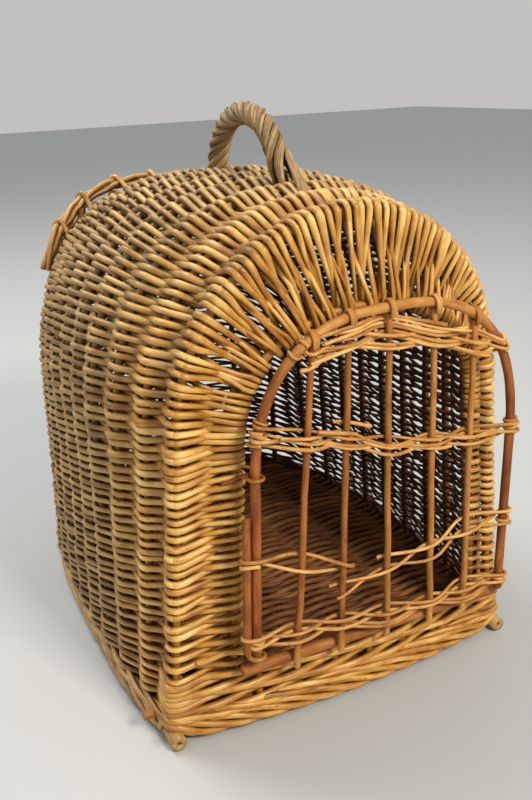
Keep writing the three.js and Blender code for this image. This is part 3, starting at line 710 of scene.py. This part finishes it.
def weave_walls():
    """Sides, roof and front panel: each row is one rod, cut in two at the corner."""
    walls = {"left": Rods(), "roof": Rods(), "right": Rods()}
    fronts = {"left": Rods(), "arch": Rods(), "right": Rods()}
    for row in range(rows):
        hand = "left" if row < rows / 2 else "right"
        lift = wander(1.0, LAST_HOOP + 1)
        reach = REACH + wander(0.8, LAST_HOOP + 1)
        reach[:2] = REACH + rng.normal(0, 0.2, 2)
        # Gold by hoop, less on the roof: own gold and painted warm front light
        gold_and_light = np.array(GOLD_AND_WARM_LIGHT) * mix(1, ROOF_GOLD_AND_LIGHT, smooth(from_foot[row], *ROOF_GOLD_AND_LIGHT_AT))
        spot = cross[:, row] + up_hoop[:, row] * lift[:, None]
        on_leg = min(row, rows - 1 - row) < rear_rows
        keys = [] if on_leg else tail_keys(row, spot[LAST_HOOP])
        keys += wall_keys(row, spot, reach, gold_and_light)
        place = hoop_places[0][row]
        low = min(place, hoops[0].length - place) < SILL_TOP - WALL_FOOT - 2
        side = -1 if low else over(row, 0)
        keys += corner_keys(row, spot[0], reach[0], side, gold_and_light)
        cut = (len(keys) - 1) * SPAN
        in_arch = cross[0, row, 2] > ARCH_FROM_Z
        dropped = low or (in_arch and side < 0 and rng.uniform() < ARCH_DROPPED)
        if not dropped:
            keys += front_keys(row, spot[0], reach[0], side, in_arch)
        curve = spline(keys, SPAN)
        line = curve[:, :3]
        warm = np.clip(curve[:, 3] + rng.normal(0, 0.07), 0, 1)
        radius = weaver_radius(len(curve)) * curve[:, 4]
        # A random tone per rod, plus the keys' painted highlight and painted shade
        tone = rng.uniform(0.1, 0.9) + curve[:, 5]
        full = np.interp(from_foot[row], FULL_AT, FULL[hand])
        full = mix(full, 1, smooth(np.arange(cut + 1), cut - 4, cut))
        part = slice(0, cut + 1)
        rods = walls["roof" if cross[ROOF_HOOP, row, 2] > ROOF_FROM_Z else hand]
        rods.add(line[part], radius[part] * full, tone=tone[part], warm=warm[part], out=away(line[part]))
        if not dropped:
            part = slice(cut, None)
            out = front_normal(line[part, 0])
            rods = fronts["arch" if in_arch else hand]
            rods.add(line[part], radius[part], tone=tone[part], warm=warm[part], out=out)
    bays = numbered("woven_bay", LAST_HOOP)
    for hand, nodes in zip(walls, (bays[:3], bays[3:6], bays[6:])):
        make(f"{hand}_weave", walls[hand], "basket", "side_willow", *nodes)
    for hand, nodes in zip(fronts, (["front_weave"], [], [])):
        make(f"{hand}_front_weave", fronts[hand], "basket", "front_willow", *nodes)


HOOP_STEPS = 90


def bend_hoops():
    side_hoops = Rods()
    for number in range(1, LAST_HOOP + 1):
        line = hoops[number].steps(HOOP_STEPS)
        # Gold share: own gold and painted warm front light, most on hoop 1 next to the front
        warm = 0.8 if number == 1 else 0.15
        side_hoops.add(line, STICK_R, tone=rng.uniform(0.0, 0.4), warm=warm, out=away(line))
    make("side_hoops", side_hoops, "basket", "side_willow", *numbered("hoop", LAST_HOOP))
    front_hoops = Rods()
    for hoop in (hoops[0], doorway):
        line = hoop.steps(HOOP_STEPS)
        # Full gold on the front hoops: own gold and painted warm front light
        front_hoops.add(line, STICK_R, tone=0.15, warm=1, out=front_normal(line[:, 0]))
    make("front_hoops", front_hoops, "basket", "front_willow", "front_corner_hoop", "doorway_hoop")


# Rear wall
REAR_MIDDLE = [0, 250, 0]
REAR_BULGE = 0.05
REAR_FINE = 0.86


def rear_keys(row):
    """A row's way over and under the stakes, between the last hoop's legs."""
    mirrored = rows - 1 - row
    share = (row + 0.5) / rear_rows
    spots = np.array([post.at(share * post.length) for post in posts])
    along = unit(np.gradient(spots, axis=0))
    rise = np.array([post.along(share * post.length) for post in posts])
    out = unit(np.cross(rise, along))
    out *= np.sign(np.sum(out * (spots - REAR_MIDDLE) * [1, 1, 0], axis=1))[:, None]
    out[0] = outward[LAST_HOOP, row]
    out[-1] = outward[LAST_HOOP, mirrored]
    spots[0] = cross[LAST_HOOP, row]
    spots[-1] = cross[LAST_HOOP, mirrored]
    spots += rise * wander(0.6, len(spots))[:, None]
    keys = []
    for i, spot in enumerate(spots):
        bulge = out[i] * (REACH + rng.normal(0, 0.25)) * over(row, LAST_HOOP + i)
        ahead = along[i] * KNUCKLE
        if i > 0:
            keys.append(spot + bulge * KNUCKLE_RISE - ahead)
        keys.append(spot + bulge)
        if i + 1 < len(spots):
            keys.append(spot + bulge * KNUCKLE_RISE + ahead)
            gap = np.linalg.norm(spots[i + 1] - spot)
            keys.append((spot + spots[i + 1]) / 2 + unit(out[i] + out[i + 1]) * gap * REAR_BULGE)
    return keys


def weave_rear():
    rear_weave = Rods()
    for row in range(rear_rows):
        curve = spline(rear_keys(row), SPAN)
        rear_weave.add(curve, weaver_radius(len(curve)) * REAR_FINE, out=away(curve))
    make("rear_weave", rear_weave, "basket", "side_willow", *numbered("rear_bay", REAR_STAKES + 1))
    rear_stakes = Rods()
    for stake in stakes:
        line = stake.steps(20)
        rear_stakes.add(line, STICK_R, tone=rng.uniform(0.1, 0.5), out=away(line))
    make("rear_stakes", rear_stakes, "basket", "side_willow", *numbered("rear_stake", REAR_STAKES))


# Rear border: three rods laid loosely round each other, with the stakes' tips bent forward over the slit
BORDER_RODS = 3
BORDER_ROD_R = 2.6
BORDER_LAY = 120
BORDER_SPREAD = 3.3
TIP_R = (2.7, 2.2)
TIP_BEHIND = 6.2
TIP_ABOVE = 6.6
TIP_LEANS = (5, 9)


def laid_round(line, first, second, turn, spread):
    """A rod wound round a line, from the first direction to the second."""
    beside = first * (np.cos(turn) * spread)[:, None]
    return line + beside + second * (np.sin(turn) * spread)[:, None]


def stake_tip(number):
    """A stake's tip: up behind the border, over it and down to the last hoop."""
    share = number / (REAR_STAKES + 1)
    held = border.at(border.length * share)
    tangent = border.along(border.length * share)
    behind = unit(np.cross([0, 0, 1], tangent))
    behind *= np.sign(behind[1])
    onward = tangent * TIP_LEANS[number % 2]
    on_hoop = last.at((0.5 + (share - 0.5) * border.length / last.length) * last.length)
    keys = [posts[number].points[-3], held + behind * TIP_BEHIND, held + [0, 0, TIP_ABOVE] + onward * 0.4]
    keys += [mix(held, on_hoop, 0.5) + [0, 0, 3] + onward, on_hoop - [0, 2, 1] + onward * 1.3]
    return spline(keys, 6)


def lay_border():
    plait = Rods()
    s = np.linspace(0, border.length, 80)
    along = border.along(s)
    back = unit(np.cross(along, [0, 0, 1]))
    rise = np.cross(back, along)
    for strand in range(BORDER_RODS):
        turn = 2 * math.pi * (s / BORDER_LAY + strand / BORDER_RODS)
        spread = BORDER_SPREAD + wander(0.8, len(s))
        curve = laid_round(border.at(s), back, rise, turn, spread)
        radius = BORDER_ROD_R * rng.uniform(0.94, 1.06)
        plait.add(curve, radius, tone=rng.uniform(0.35, 0.8), warm=0.35, out=away(curve))
    for number in range(1, REAR_STAKES + 1):
        curve = stake_tip(number)
        plait.add(curve, np.linspace(*TIP_R, len(curve)), tone=rng.uniform(0.3, 0.8), warm=0.2)
    make("rear_border_plait", plait, "basket", "side_willow", "rear_border")


# Sill: long rows that come round the left corner, climb slowly and go on round the right corner
SILL_STICKS = 10
SILL_STICK_R = 3
SILL_ROD_R = 2.6
SILL_CLIMB = 0.05
SILL_PITCH = 4.7
SILL_FOOT = 18.5
SILL_PLACES = 19
SILL_PERIOD = 3
SILL_END_DEPTH = 6.2
SILL_LEAN = 0.0008
SILL_BEHIND_CORNER = ((36, -3.5), (26, 0.5), (18, 3.8), (11, 5.8))
CORNER_OUT = 5.0
CORNER_FORWARD = 4.0


def round_corner(side, z):
    """Places of a sill row from the side wall to a front corner."""
    places = []
    for y, depth in SILL_BEHIND_CORNER:
        wall = float(plan_half(y)) * (1 - SILL_LEAN * (z - WALL_FOOT))
        places.append([side * (wall + depth), y, z])
    places.append([side * (FRONT_HALF + CORNER_OUT), FRONT_Y - CORNER_FORWARD, z])
    return places


def sill_keys(line):
    """Places of a sill row on the front, over two sticks and sunk in at the third."""
    keys = []
    base = SILL_FOOT + 2 + SILL_PITCH * line
    shift = rng.normal(0, 0.5)
    for i, x in enumerate(np.linspace(-FRONT_HALF + 7, FRONT_HALF - 7, SILL_PLACES)):
        z = base + SILL_CLIMB * (x + FRONT_HALF) + shift
        if SILL_FOOT + 0.5 < z < SILL_TOP - 2:
            phase = (i / 2 + line) % SILL_PERIOD
            depth = 1.6 + (0.5 - math.cos(2 * math.pi * phase / SILL_PERIOD)) * 3.6
            depth = SILL_END_DEPTH if i in (0, SILL_PLACES - 1) else depth
            keys.append(np.array([x, front_y(x), z]) + front_normal(np.array(x)) * depth)
    return keys


def weave_sill():
    sill = Rods()
    heights = np.linspace(WALL_FOOT - 6, SILL_TOP - 5, 8)
    # Sill sticks in full gold: own gold and painted warm front light
    for x in np.linspace(-FRONT_HALF, FRONT_HALF, SILL_STICKS)[2:-1]:
        sill.add([[x, front_y(x), z] for z in heights], SILL_STICK_R, tone=0.2, warm=1)
    for line in range(-4, 9):
        keys = sill_keys(line)
        if len(keys) < 5:
            continue
        if keys[0][0] < -FRONT_HALF + 12:
            keys = round_corner(-1, keys[0][2]) + keys
        if keys[-1][0] > FRONT_HALF - 12:
            keys = keys + round_corner(1, keys[-1][2])[::-1]
        curve = spline(keys, 3)
        # Full gold on the front, half round the corners: own gold and painted warm front light fading to
        # the sides
        warm = 1 - 0.5 * smooth(curve[:, 1], FRONT_Y, FIRST_HOOP_Y)
        radius = SILL_ROD_R * rng.uniform(0.9, 1.1) * np.linspace(*TAPER, len(curve))
        out = away(curve * [1, 1, 0] + [0, 0, MIDDLE_Z])
        sill.add(curve, radius, tone=rng.uniform(0.05, 0.75), warm=warm, out=out)
    make("sill_rows", sill, "basket", "front_willow", "sill_weave")


# Floor: rods across, over and under sticks along
FLOOR_STICKS = np.linspace(-110, 110, 6)
FLOOR_STICK_R = 2.6
FLOOR_ROD_R = 2.5
FLOOR_PITCH = 4.8
FLOOR_REACH = 2.9
FLOOR_LEAST_HALF = 40


def weave_floor():
    floor_rods = Rods()
    for x in FLOOR_STICKS:
        places = np.linspace(6, 392 - abs(x) * 0.12, 12)
        floor_rods.add([[x, y, FLOOR_Z] for y in places], FLOOR_STICK_R, tone=0.3)
    for number, y in enumerate(np.arange(4, 400, FLOOR_PITCH)):
        half = float(plan_half(max(y, FRONT_Y))) - 3
        if half < FLOOR_LEAST_HALF:
            continue
        keys = []
        crossed = FLOOR_STICKS[np.abs(FLOOR_STICKS) < half - 8]
        for i, x in enumerate([-half, *crossed, half]):
            side = 1 if (i + number) % 2 else -1
            keys.append([x, y + rng.normal(0, 0.4), FLOOR_Z + FLOOR_REACH * side])
        floor_rods.add(spline(keys, 5), FLOOR_ROD_R * rng.uniform(0.9, 1.1), warm=rng.uniform(0, 0.4))
    make("floor_rods", floor_rods, "basket", "base_willow", "floor_weave")


# The woven edge round the floor: flared at the front and lifted over the runners' ends
EDGE_DEPTH = 2.4
EDGE_LAY = 96
EDGE_OUT = 1.2
EDGE_FLARE = 0.85
EDGE_STEPS = 560
EDGE_MIDDLE = [0, 200, 0]
RUNNER_LIFT = 6.5

# Strands, height, rise and radius of each row of the edge
EDGE_ROWS = ((4, 10.5, 4.9, 2.55), (3, 20.5, 2.6, 2.4))


def edge_path():
    """The foot of the wall, all round from the middle of the rear."""
    y = np.linspace(FRONT_Y, LAST_HOOP_Y, 60)
    left = np.stack([-plan_half(y), y], axis=1)
    right = (left * [-1, 1])[::-1]
    x = np.linspace(FRONT_HALF - 3, -FRONT_HALF + 3, 60)
    front = np.stack([x, front_y(x)], axis=1)
    rear = foot_line.points[::4, :2]
    half = len(rear) // 2
    outline = np.vstack([rear[half:], right, front, left, rear[: half + 1]])
    return Path(np.hstack([outline, np.zeros((len(outline), 1))]))


def weave_edge():
    edge_rope = Rods()
    outline = edge_path()
    s = np.linspace(0, outline.length, EDGE_STEPS)
    line = outline.at(s)
    along = unit(outline.at(np.minimum(s + 9, outline.length)) - outline.at(np.maximum(s - 9, 0)))
    out = unit(np.cross(along, [0, 0, 1]))
    out = out * np.sign(np.sum(out * (line - EDGE_MIDDLE), axis=1))[:, None]
    # Gold along the front, fading to the sides: own gold and painted warm front light
    warm = 0.25 + 0.75 * (1 - smooth(line[:, 1], FRONT_Y, 60))
    near_runner = np.exp(-(((np.abs(line[:, 0]) - RUNNER_X + 2) / 9) ** 2)) * (line[:, 1] < 16)
    for strands, height, rise, radius in EDGE_ROWS:
        lifted = RUNNER_LIFT * near_runner * (height < 15)
        for strand in range(strands):
            turn = 2 * math.pi * (strand / strands + s / EDGE_LAY + height / 30)
            reach = EDGE_OUT + flare_at(line[:, 1]) * EDGE_FLARE + EDGE_DEPTH * np.cos(turn)
            curve = line + out * reach[:, None]
            curve[:, 2] = height + rise * np.sin(turn) * (1 - 0.6 * near_runner) + lifted
            own = radius * rng.uniform(0.94, 1.06)
            edge_rope.add(curve[:-1], own, tone=rng.uniform(0.1, 0.7), warm=warm[:-1], out=out[:-1])
    make("floor_edge", edge_rope, "basket", "front_willow")


# Runners and rails: a rail is given by its place and how far it ends beyond the wall
RUNNER_STEPS = 30
RAILS = ((21, 12), (LAST_HOOP_Y, 3))
CLEAR_OF_FLOOR = 0.02


def lay_base():
    runners = Rods()
    y = np.linspace(-RUNNER_OVERHANG, LAST_HOOP_Y, RUNNER_STEPS)
    for side in (-1, 1):
        x = side * RUNNER_X + wander(0.15, RUNNER_STEPS)
        line = np.stack([x, y, np.full(RUNNER_STEPS, RUNNER_R)], axis=1)
        runners.add(line, RUNNER_R - CLEAR_OF_FLOOR, sides=16, tone=0.55, pith=True)
    nodes = ["left_runner", "right_runner"]
    make("runners", runners, "basket", "base_willow", *nodes, look="side_willow")
    rails = Rods()
    for place, beyond in RAILS:
        end = float(plan_half(place)) + beyond + float(flare_at(place))
        line = [[x, place, FLOOR_Z] for x in np.linspace(-end, end, 24)]
        rails.add(line, RAIL_R, sides=12, tone=0.35, warm=0.6, pith=True)
    make("base_rails", rails, "basket", "base_willow", "front_base_rail", "rear_base_rail")


# Handle: five bundles of three rods laid round each other, splayed where they enter the roof in front
BUNDLE_ANGLE = 0.3
BUNDLE_SPREAD = (6.2, 7.2, 6.2)
HANDLE_ROD_R = 1.75
HANDLE_LAY = 54
HANDLE_STEPS = 150
LOOSE_BETWEEN = (376, 406)
LOOSE_BELOW = 24
LOOSE_CHANGE = 6
SPLAY = [-27, -13, -2, 0, -7]
SPLAY_RISE = 0.12


def handle_path():
    angle = np.linspace(0, math.pi, HANDLE_STEPS)
    reach = np.sign(np.cos(angle)) * np.abs(np.cos(angle)) ** (2 / HANDLE_POWER)
    rise = np.sin(angle).clip(0) ** (2 / HANDLE_POWER)
    y = (HANDLE_FRONT + HANDLE_REAR) / 2 - reach * (HANDLE_REAR - HANDLE_FRONT) / 2
    return Path(np.stack([np.zeros(HANDLE_STEPS), y, mix(HANDLE_FOOT, HANDLE_TOP, rise)], axis=1))


def twist_handle():
    handle = Rods()
    path = handle_path()
    s = np.linspace(0, path.length, HANDLE_STEPS)
    middle = path.at(s)
    across = np.array([1, 0, 0])
    inner = unit(np.cross(path.along(s), across))
    loosened = 1 - smooth(middle[:, 2], *LOOSE_BETWEEN)
    loosened[len(s) // 2 :] = 0
    twisted = LOOSE_BELOW + LOOSE_CHANGE * np.log1p(np.exp((s - LOOSE_BELOW) / LOOSE_CHANGE))
    for bundle, splay in enumerate(SPLAY):
        for rod, own_spread in enumerate(BUNDLE_SPREAD):
            turn = 2 * math.pi * (bundle / len(SPLAY) - twisted / HANDLE_LAY) + (rod - 1) * BUNDLE_ANGLE
            spread = own_spread + wander(0.3, len(s))
            curve = laid_round(middle, inner, across, turn, spread)
            out = unit(curve - middle)
            curve[:, 1] += loosened * splay
            curve[:, 2] += loosened * abs(splay) * SPLAY_RISE
            radius = HANDLE_ROD_R * rng.uniform(0.92, 1.1)
            handle.add(curve, radius, tone=rng.uniform(0.15, 1), out=out)
    make("handle_rope", handle, "basket", "handle_willow", "handle")


# Door
def door_path():
    """The door's hoop: its left foot ends higher, and both feet sway to the left."""
    x, z = arch(DOOR_FEET[1], DOOR_FOOT_HALF, DOOR_SPRING, DOOR_HALF, DOOR_TOP, DOOR_POWER)
    down = np.clip((DOOR_SPRING - z) / (DOOR_SPRING - DOOR_FEET[1]), 0, 1)
    own_foot = np.where(x < 0, DOOR_FEET[0], DOOR_FEET[1])
    z = np.where(down > 0, mix(DOOR_SPRING, own_foot, down), z)
    x = DOOR_X + x - DOOR_SWAY * down
    return Path(np.stack([x, np.full_like(x, DOOR_Y), z], axis=-1))


door = door_path()
CROWN = len(door.points) // 2
DOOR_STEPS = 120
DOOR_GOLD_AT = (262, 305)
BARS = len(BARS_AT_FOOT)
BAR_STEPS = 26
BAR_PALE_AT = (58, 74)
BAR_GOLD_AT = (58, 70)
TONGUE_WIDTH = (2.9, 2.0)
RAIL_STEPS = 30
SPARE_STEPS = 14


def hoop_place(z, side):
    """How far along the door's hoop it crosses a height, on the left or the right."""
    half = slice(0, CROWN + 1) if side < 0 else slice(None, CROWN - 1, -1)
    return float(np.interp(z, door.points[half, 2], door.s[half]))


def door_edge(z, side):
    return float(door.at(hoop_place(z, side))[0])


def door_top(x):
    left = DOOR_X - abs(x - DOOR_X)
    above = door.points[LEG_STEPS : CROWN + 1]
    return float(np.interp(left, above[:, 0], above[:, 2]))


def bar_x(number, z):
    foot, top = BARS_AT_FOOT[number], BARS_AT_TOP[number]
    return mix(foot, top, (z - BAR_FOOT) / (door_top(top) - BAR_FOOT))


def bend_door():
    frame_rods = Rods()
    line = door.steps(DOOR_STEPS)
    warm = 0.75 * smooth(line[:, 2], *DOOR_GOLD_AT)
    radius = DOOR_R + wander(0.12, DOOR_STEPS)
    frame_rods.add(line, radius, sides=12, tone=0.4 + 0.3 * warm, warm=warm)
    make("door_frame", frame_rods, "door", "door_willow", "door_hoop")


def set_bars():
    bars = Rods()
    taper = np.linspace(1.04, 0.94, BAR_STEPS)
    for number in range(BARS):
        z = np.linspace(BAR_FOOT + 1, door_top(BARS_AT_TOP[number]) - 5, BAR_STEPS)
        x = bar_x(number, z) + wander(0.4, BAR_STEPS)
        line = np.stack([x, DOOR_Y + wander(0.2, BAR_STEPS), z], axis=1)
        pale = mix(1.0, rng.uniform(0.25, 0.7), smooth(z, *BAR_PALE_AT))
        warm = np.maximum(BAR_GOLD[number], 1 - smooth(z, *BAR_GOLD_AT))
        bars.add(line, BAR_R * taper, sides=10, tone=pale, warm=warm)
    make("door_bars", bars, "door", "door_willow", *numbered("door_bar", BARS))


def bend_tongues():
    """The bars' flattened tops: over the hoop from behind, down and in under it."""
    tongues = Rods()
    front = -DOOR_R - 1.1
    bends = [(0, 1, -11), (0, DOOR_R + 0.9, -3), (0, 2.2, DOOR_R + 0.6), (0.3, -2.2, DOOR_R + 0.4)]
    bends += [(0.6, front, 0), (0.9, front + 0.7, -4.4), (1.4, -1.6, -7.6), (2.4, 2, -8.6)]
    for x, warm in zip(BARS_AT_TOP, TONGUE_GOLD):
        curve = spline(np.array(bends) + [x, DOOR_Y, door_top(x)], 5)
        width = mix(*TONGUE_WIDTH, smooth(np.linspace(0, 1, len(curve)), 0.6, 1))
        tone = rng.uniform(0.5, 0.8)
        tongues.add(curve, width, flat=0.4, side=(1, 0, 0), tone=tone, warm=warm)
    make("door_bar_tongues", tongues, "door", "door_willow")


def lay_door_rail():
    rail = Rods()
    left = door_edge(DOOR_FEET[0], -1) - DOOR_RAIL_PAST - DOOR_R
    right = door_edge(DOOR_FEET[1], 1) + DOOR_R
    share = np.linspace(0, 1, RAIL_STEPS)
    y = np.full(RAIL_STEPS, DOOR_Y + DOOR_RAIL_BEHIND)
    z = mix(*RAIL_ENDS, share) + wander(0.2, RAIL_STEPS)
    line = np.stack([mix(left, right, share), y, z], axis=1)
    rail.add(line, DOOR_RAIL_R + wander(0.15, RAIL_STEPS), sides=12, tone=0.55, warm=0.2)
    make("door_rail", rail, "door", "door_willow", "door_bottom_rail")


def lay_spare():
    spare = Rods()
    heights = np.linspace(*SPARE_ENDS, SPARE_STEPS)
    line = [[door_edge(z, -1) - SPARE_BESIDE, DOOR_Y, z] for z in heights]
    spare.add(line, SPARE_R * np.linspace(1.03, 0.9, SPARE_STEPS), sides=10, tone=0.42, warm=0.12)
    make("door_spare", spare, "door", "door_willow", "door_spare_rod")


# Bands: thin weavers across the door, in front of and behind the bars in turn
HALF_WRAP = ((0, 1), (1, 0), (0, -1))
WRAP = ((0, 1), (1, 0), (0, -1), (-1, 0), (0, 1), (1, 0), (0, -1))
WRAP_PITCH = 0.55
BAND_SWAY = 1.6
CLEAR_OF_END = 4
ROUND_SPARE = 6.5

# Each band has a line of places (x, z) and its weavers: lift, first side, left end and right end.
# A free end is given by its x, and an end wrapped round the hoop by its height in brackets.
BANDS = {
    "top_band": (
        [(-62, 284), (-50, 287), (-16, 293), (20, 291), (55, 283), (90, 275), (114, 268.5)],
        [
            (12.5, -1, -40, 62), (9.5, 1, -46, 84), (6.8, -1, -34, [273]), (4.4, 1, -50, [271]),
            (2.2, -1, [295], [269]), (0.2, 1, -56, 96), (-1.6, 1, [289], [266]), (-3.4, -1, -44, 112),
            (-5, -1, -52, [263]), (-7, 1, -36, 102),
        ],
    ),
    "upper_band": (
        [(-82, 240), (-49, 230), (-16, 222), (16, 211), (57, 206), (92, 202), (126, 199)],
        [
            (4.4, 1, [247], [205], WRAP), (2.6, -1, -68, 112), (1, -1, [242], [202]),
            (-1.2, 1, [238], [199], WRAP), (-2.8, 1, -60, 70), (-4.2, -1, [234], [196]),
            (9, -1, -40, -10), (11, 1, -24, 6),
        ],
    ),
    "lower_left_band": (
        [(-98, 150), (-53, 139), (-14, 124)],
        [(4, 1, [152], -13, HALF_WRAP, ROUND_SPARE), (-4, -1, [147], -14, HALF_WRAP, ROUND_SPARE)],
    ),
    "lower_right_band": (
        [(-27, 106), (18, 112), (60, 116), (92, 123), (128, 125)],
        [(2, 1, -29, [128]), (-1.6, -1, -27, [121], WRAP), (8, 1, 12, [132])],
    ),
    "bottom_band": (
        [(-91, 86), (-55, 81), (-18, 78), (18, 73), (60, 70), (90, 70), (126, 69)],
        [
            (5.4, 1, [91], [75], HALF_WRAP, ROUND_SPARE), (2.4, -1, [87], [72]),
            (-0.6, 1, [84], [69], WRAP), (-3.6, -1, [81], [66]), (-6.2, 1, -40, [64]),
        ],
    ),
}


def wrap(z, side, first, radius, turns, beside):
    """Keys of a weaver's end round the door's hoop, from its tip on."""
    s = hoop_place(z, side)
    along = door.along(s) * -side
    out = np.array([side * abs(along[2]), 0, -side * along[0] * np.sign(along[2])])
    reach = DOOR_R + radius
    keys = []
    for i, (outwards, back) in enumerate(turns):
        place = door.at(s) + along * (len(turns) - 1 - i) * radius * WRAP_PITCH
        depth = np.array([0, back * first * reach, 0])
        keys.append(place + out * outwards * (reach + (beside if outwards > 0 else 0)) + depth)
    return keys


def band_rod(line, radius, lift, first, left, right, turns=HALF_WRAP, beside=0):
    """A weaver of a band, from its left end past the bars to its right end."""
    xs, zs = zip(*line)
    reach = BAR_R + radius

    def height(x):
        return float(np.interp(x, xs, zs)) + lift

    if isinstance(left, list):
        keys = wrap(*left, -1, first, radius, turns, beside)
    else:
        keys = [[left, DOOR_Y + first * reach, height(left) + BAND_SWAY * first]]
    begin = keys[-1][0]
    finish = door_edge(*right, 1) if isinstance(right, list) else right
    side = first
    for number in range(BARS):
        x = bar_x(number, height(BARS_AT_FOOT[number]))
        if begin + CLEAR_OF_END < x < finish - CLEAR_OF_END:
            z = height(x) + BAND_SWAY * side + rng.normal(0, 0.7)
            keys.append([x, DOOR_Y + side * reach, z])
            side = -side
    if isinstance(right, list):
        keys += wrap(*right, 1, -side, radius, turns, 0)[::-1]
    else:
        keys.append([right, DOOR_Y - side * reach, height(right) - BAND_SWAY * side])
    return spline(keys, 5)


def weave_bands():
    for name, (line, weavers) in BANDS.items():
        thin = Rods()
        for weaver in weavers:
            radius = rng.uniform(1.15, 1.45)
            curve = band_rod(line, radius, *weaver)
            taper = np.linspace(*rng.permutation([0.85, 1.1]), len(curve))
            thin.add(curve, radius * taper, tone=rng.uniform(0.1, 0.9))
        make(name, thin, "door", "band_willow", f"door_{name}")


# Hinge ties: a rod from the jamb round the door's left leg and back
TIE_RING_R = 5.7
TIE_STEPS = 18
TIE_TAPER = (1.2, 0.75)


def tie(name, node, z, radius, tone, reach):
    """A tie at a height, with one end on the front panel as far left as it reaches."""
    rods = Rods()
    x = door_edge(z, -1)
    turn = np.linspace(0.15 * math.pi, 1.85 * math.pi, TIE_STEPS)
    ring_x = x + np.sin(turn) * TIE_RING_R
    ring_y = DOOR_Y + np.cos(turn) * TIE_RING_R
    ring = np.stack([ring_x, ring_y, z + np.linspace(-1, 1, TIE_STEPS)], axis=1)
    seat = front_y(x - reach)
    front = [[x - reach - 6, seat - 5, z - 9], [x - reach, seat - 8.5, z - 7]]
    front += [[x - reach * 0.55, seat - 10.5, z - 4], [x - 5, -16, z - 1.5]]
    back = [[x + 2, -13, z + 2], [x - 7, -3, z + 2]]
    curve = spline(np.vstack([front, ring[::-1], back]), 3)
    share = np.linspace(0, 1, len(curve))
    shade = mix(tone, 0.1, smooth(share, 0.15, 0.4))
    rods.add(curve, radius * mix(*TIE_TAPER, share), tone=shade, warm=1)
    make(name, rods, "basket", "front_willow", node)


# The pieces, in the order of their random draws
weave_walls()
bend_hoops()
weave_rear()
lay_border()
weave_sill()
weave_floor()
weave_edge()
lay_base()
twist_handle()
bend_door()
set_bars()
bend_tongues()
lay_door_rail()
lay_spare()
weave_bands()
tie("lower_tie", "lower_hinge_tie", z=75, radius=1.7, tone=0.75, reach=30)
tie("upper_tie", "upper_hinge_tie", z=212, radius=1.3, tone=-0.5, reach=9)

# Floor and room, in metres
stage = bpy.data.meshes.new("stage")
stage.from_pydata([(-6, -4, 0), (6, -4, 0), (6, 8, 0), (-6, 8, 0)], [], [(0, 1, 2, 3)])
stage_piece = bpy.data.objects.new("stage", stage)
bpy.context.scene.collection.objects.link(stage_piece)
plain = bpy.data.materials.new("stage")
plain.use_nodes = True
plain_shader = plain.node_tree.nodes["Principled BSDF"]
plain_shader.inputs["Base Color"].default_value = (0.5, 0.525, 0.54, 1)
plain_shader.inputs["Roughness"].default_value = 0.7
stage.materials.append(plain)

scene = bpy.context.scene
world = bpy.data.worlds.new("room")
scene.world = world
world.use_nodes = True
background = world.node_tree.nodes["Background"]
background.inputs["Color"].default_value = (1.0, 0.985, 0.965, 1)
background.inputs["Strength"].default_value = 0.54


def placed(axes, place):
    """A matrix from three axes as columns and a place."""
    return Matrix([[*row, p] for row, p in zip(axes, place)] + [[0, 0, 0, 1]])


def lamp(name, place, target, size, power, colour):
    data = bpy.data.lights.new(name, "AREA")
    data.size = size
    data.energy = power
    data.color = colour
    light = bpy.data.objects.new(name, data)
    scene.collection.objects.link(light)
    away_from = unit(np.array(place) - target)
    x = unit(np.cross([0, 0, 1], away_from))
    y = np.cross(away_from, x)
    light.matrix_world = placed(np.stack([x, y, away_from], axis=1), place)


lamp("window", (-0.5, 1.0, 2.1), target=(0, 0, 0.2), size=1.0, power=34, colour=(1.0, 0.96, 0.9))
lamp("room_front", (0.4, -1.8, 1.6), target=(0, -0.2, 0.2), size=0.5, power=41, colour=(1.0, 0.92, 0.78))
lamp("room_rear", (0.9, 3.2, 2.6), target=(0.9, 3.2, 0), size=3.0, power=30, colour=(1.0, 0.99, 0.97))

# Camera: where the photo was taken from
yaw, pitch, roll = np.radians([25.887, 20.607, -2.398])
forward = np.array([math.sin(yaw) * math.cos(pitch), math.cos(yaw) * math.cos(pitch), -math.sin(pitch)])
level = np.array([math.cos(yaw), -math.sin(yaw), 0])
upright = np.cross(level, forward)
right = level * math.cos(roll) + upright * math.sin(roll)
up = upright * math.cos(roll) - level * math.sin(roll)
camera_data = bpy.data.cameras.new("camera")
camera_data.sensor_width = 36
camera_data.lens = 39.5
camera = bpy.data.objects.new("camera", camera_data)
scene.collection.objects.link(camera)
camera_place = np.array([-303.2, -494.8 + SHIFT_Y, 460.3]) * MM
camera.matrix_world = placed(np.stack([right, up, -forward], axis=1), camera_place)
scene.camera = camera
scene.view_settings.view_transform = "Standard"
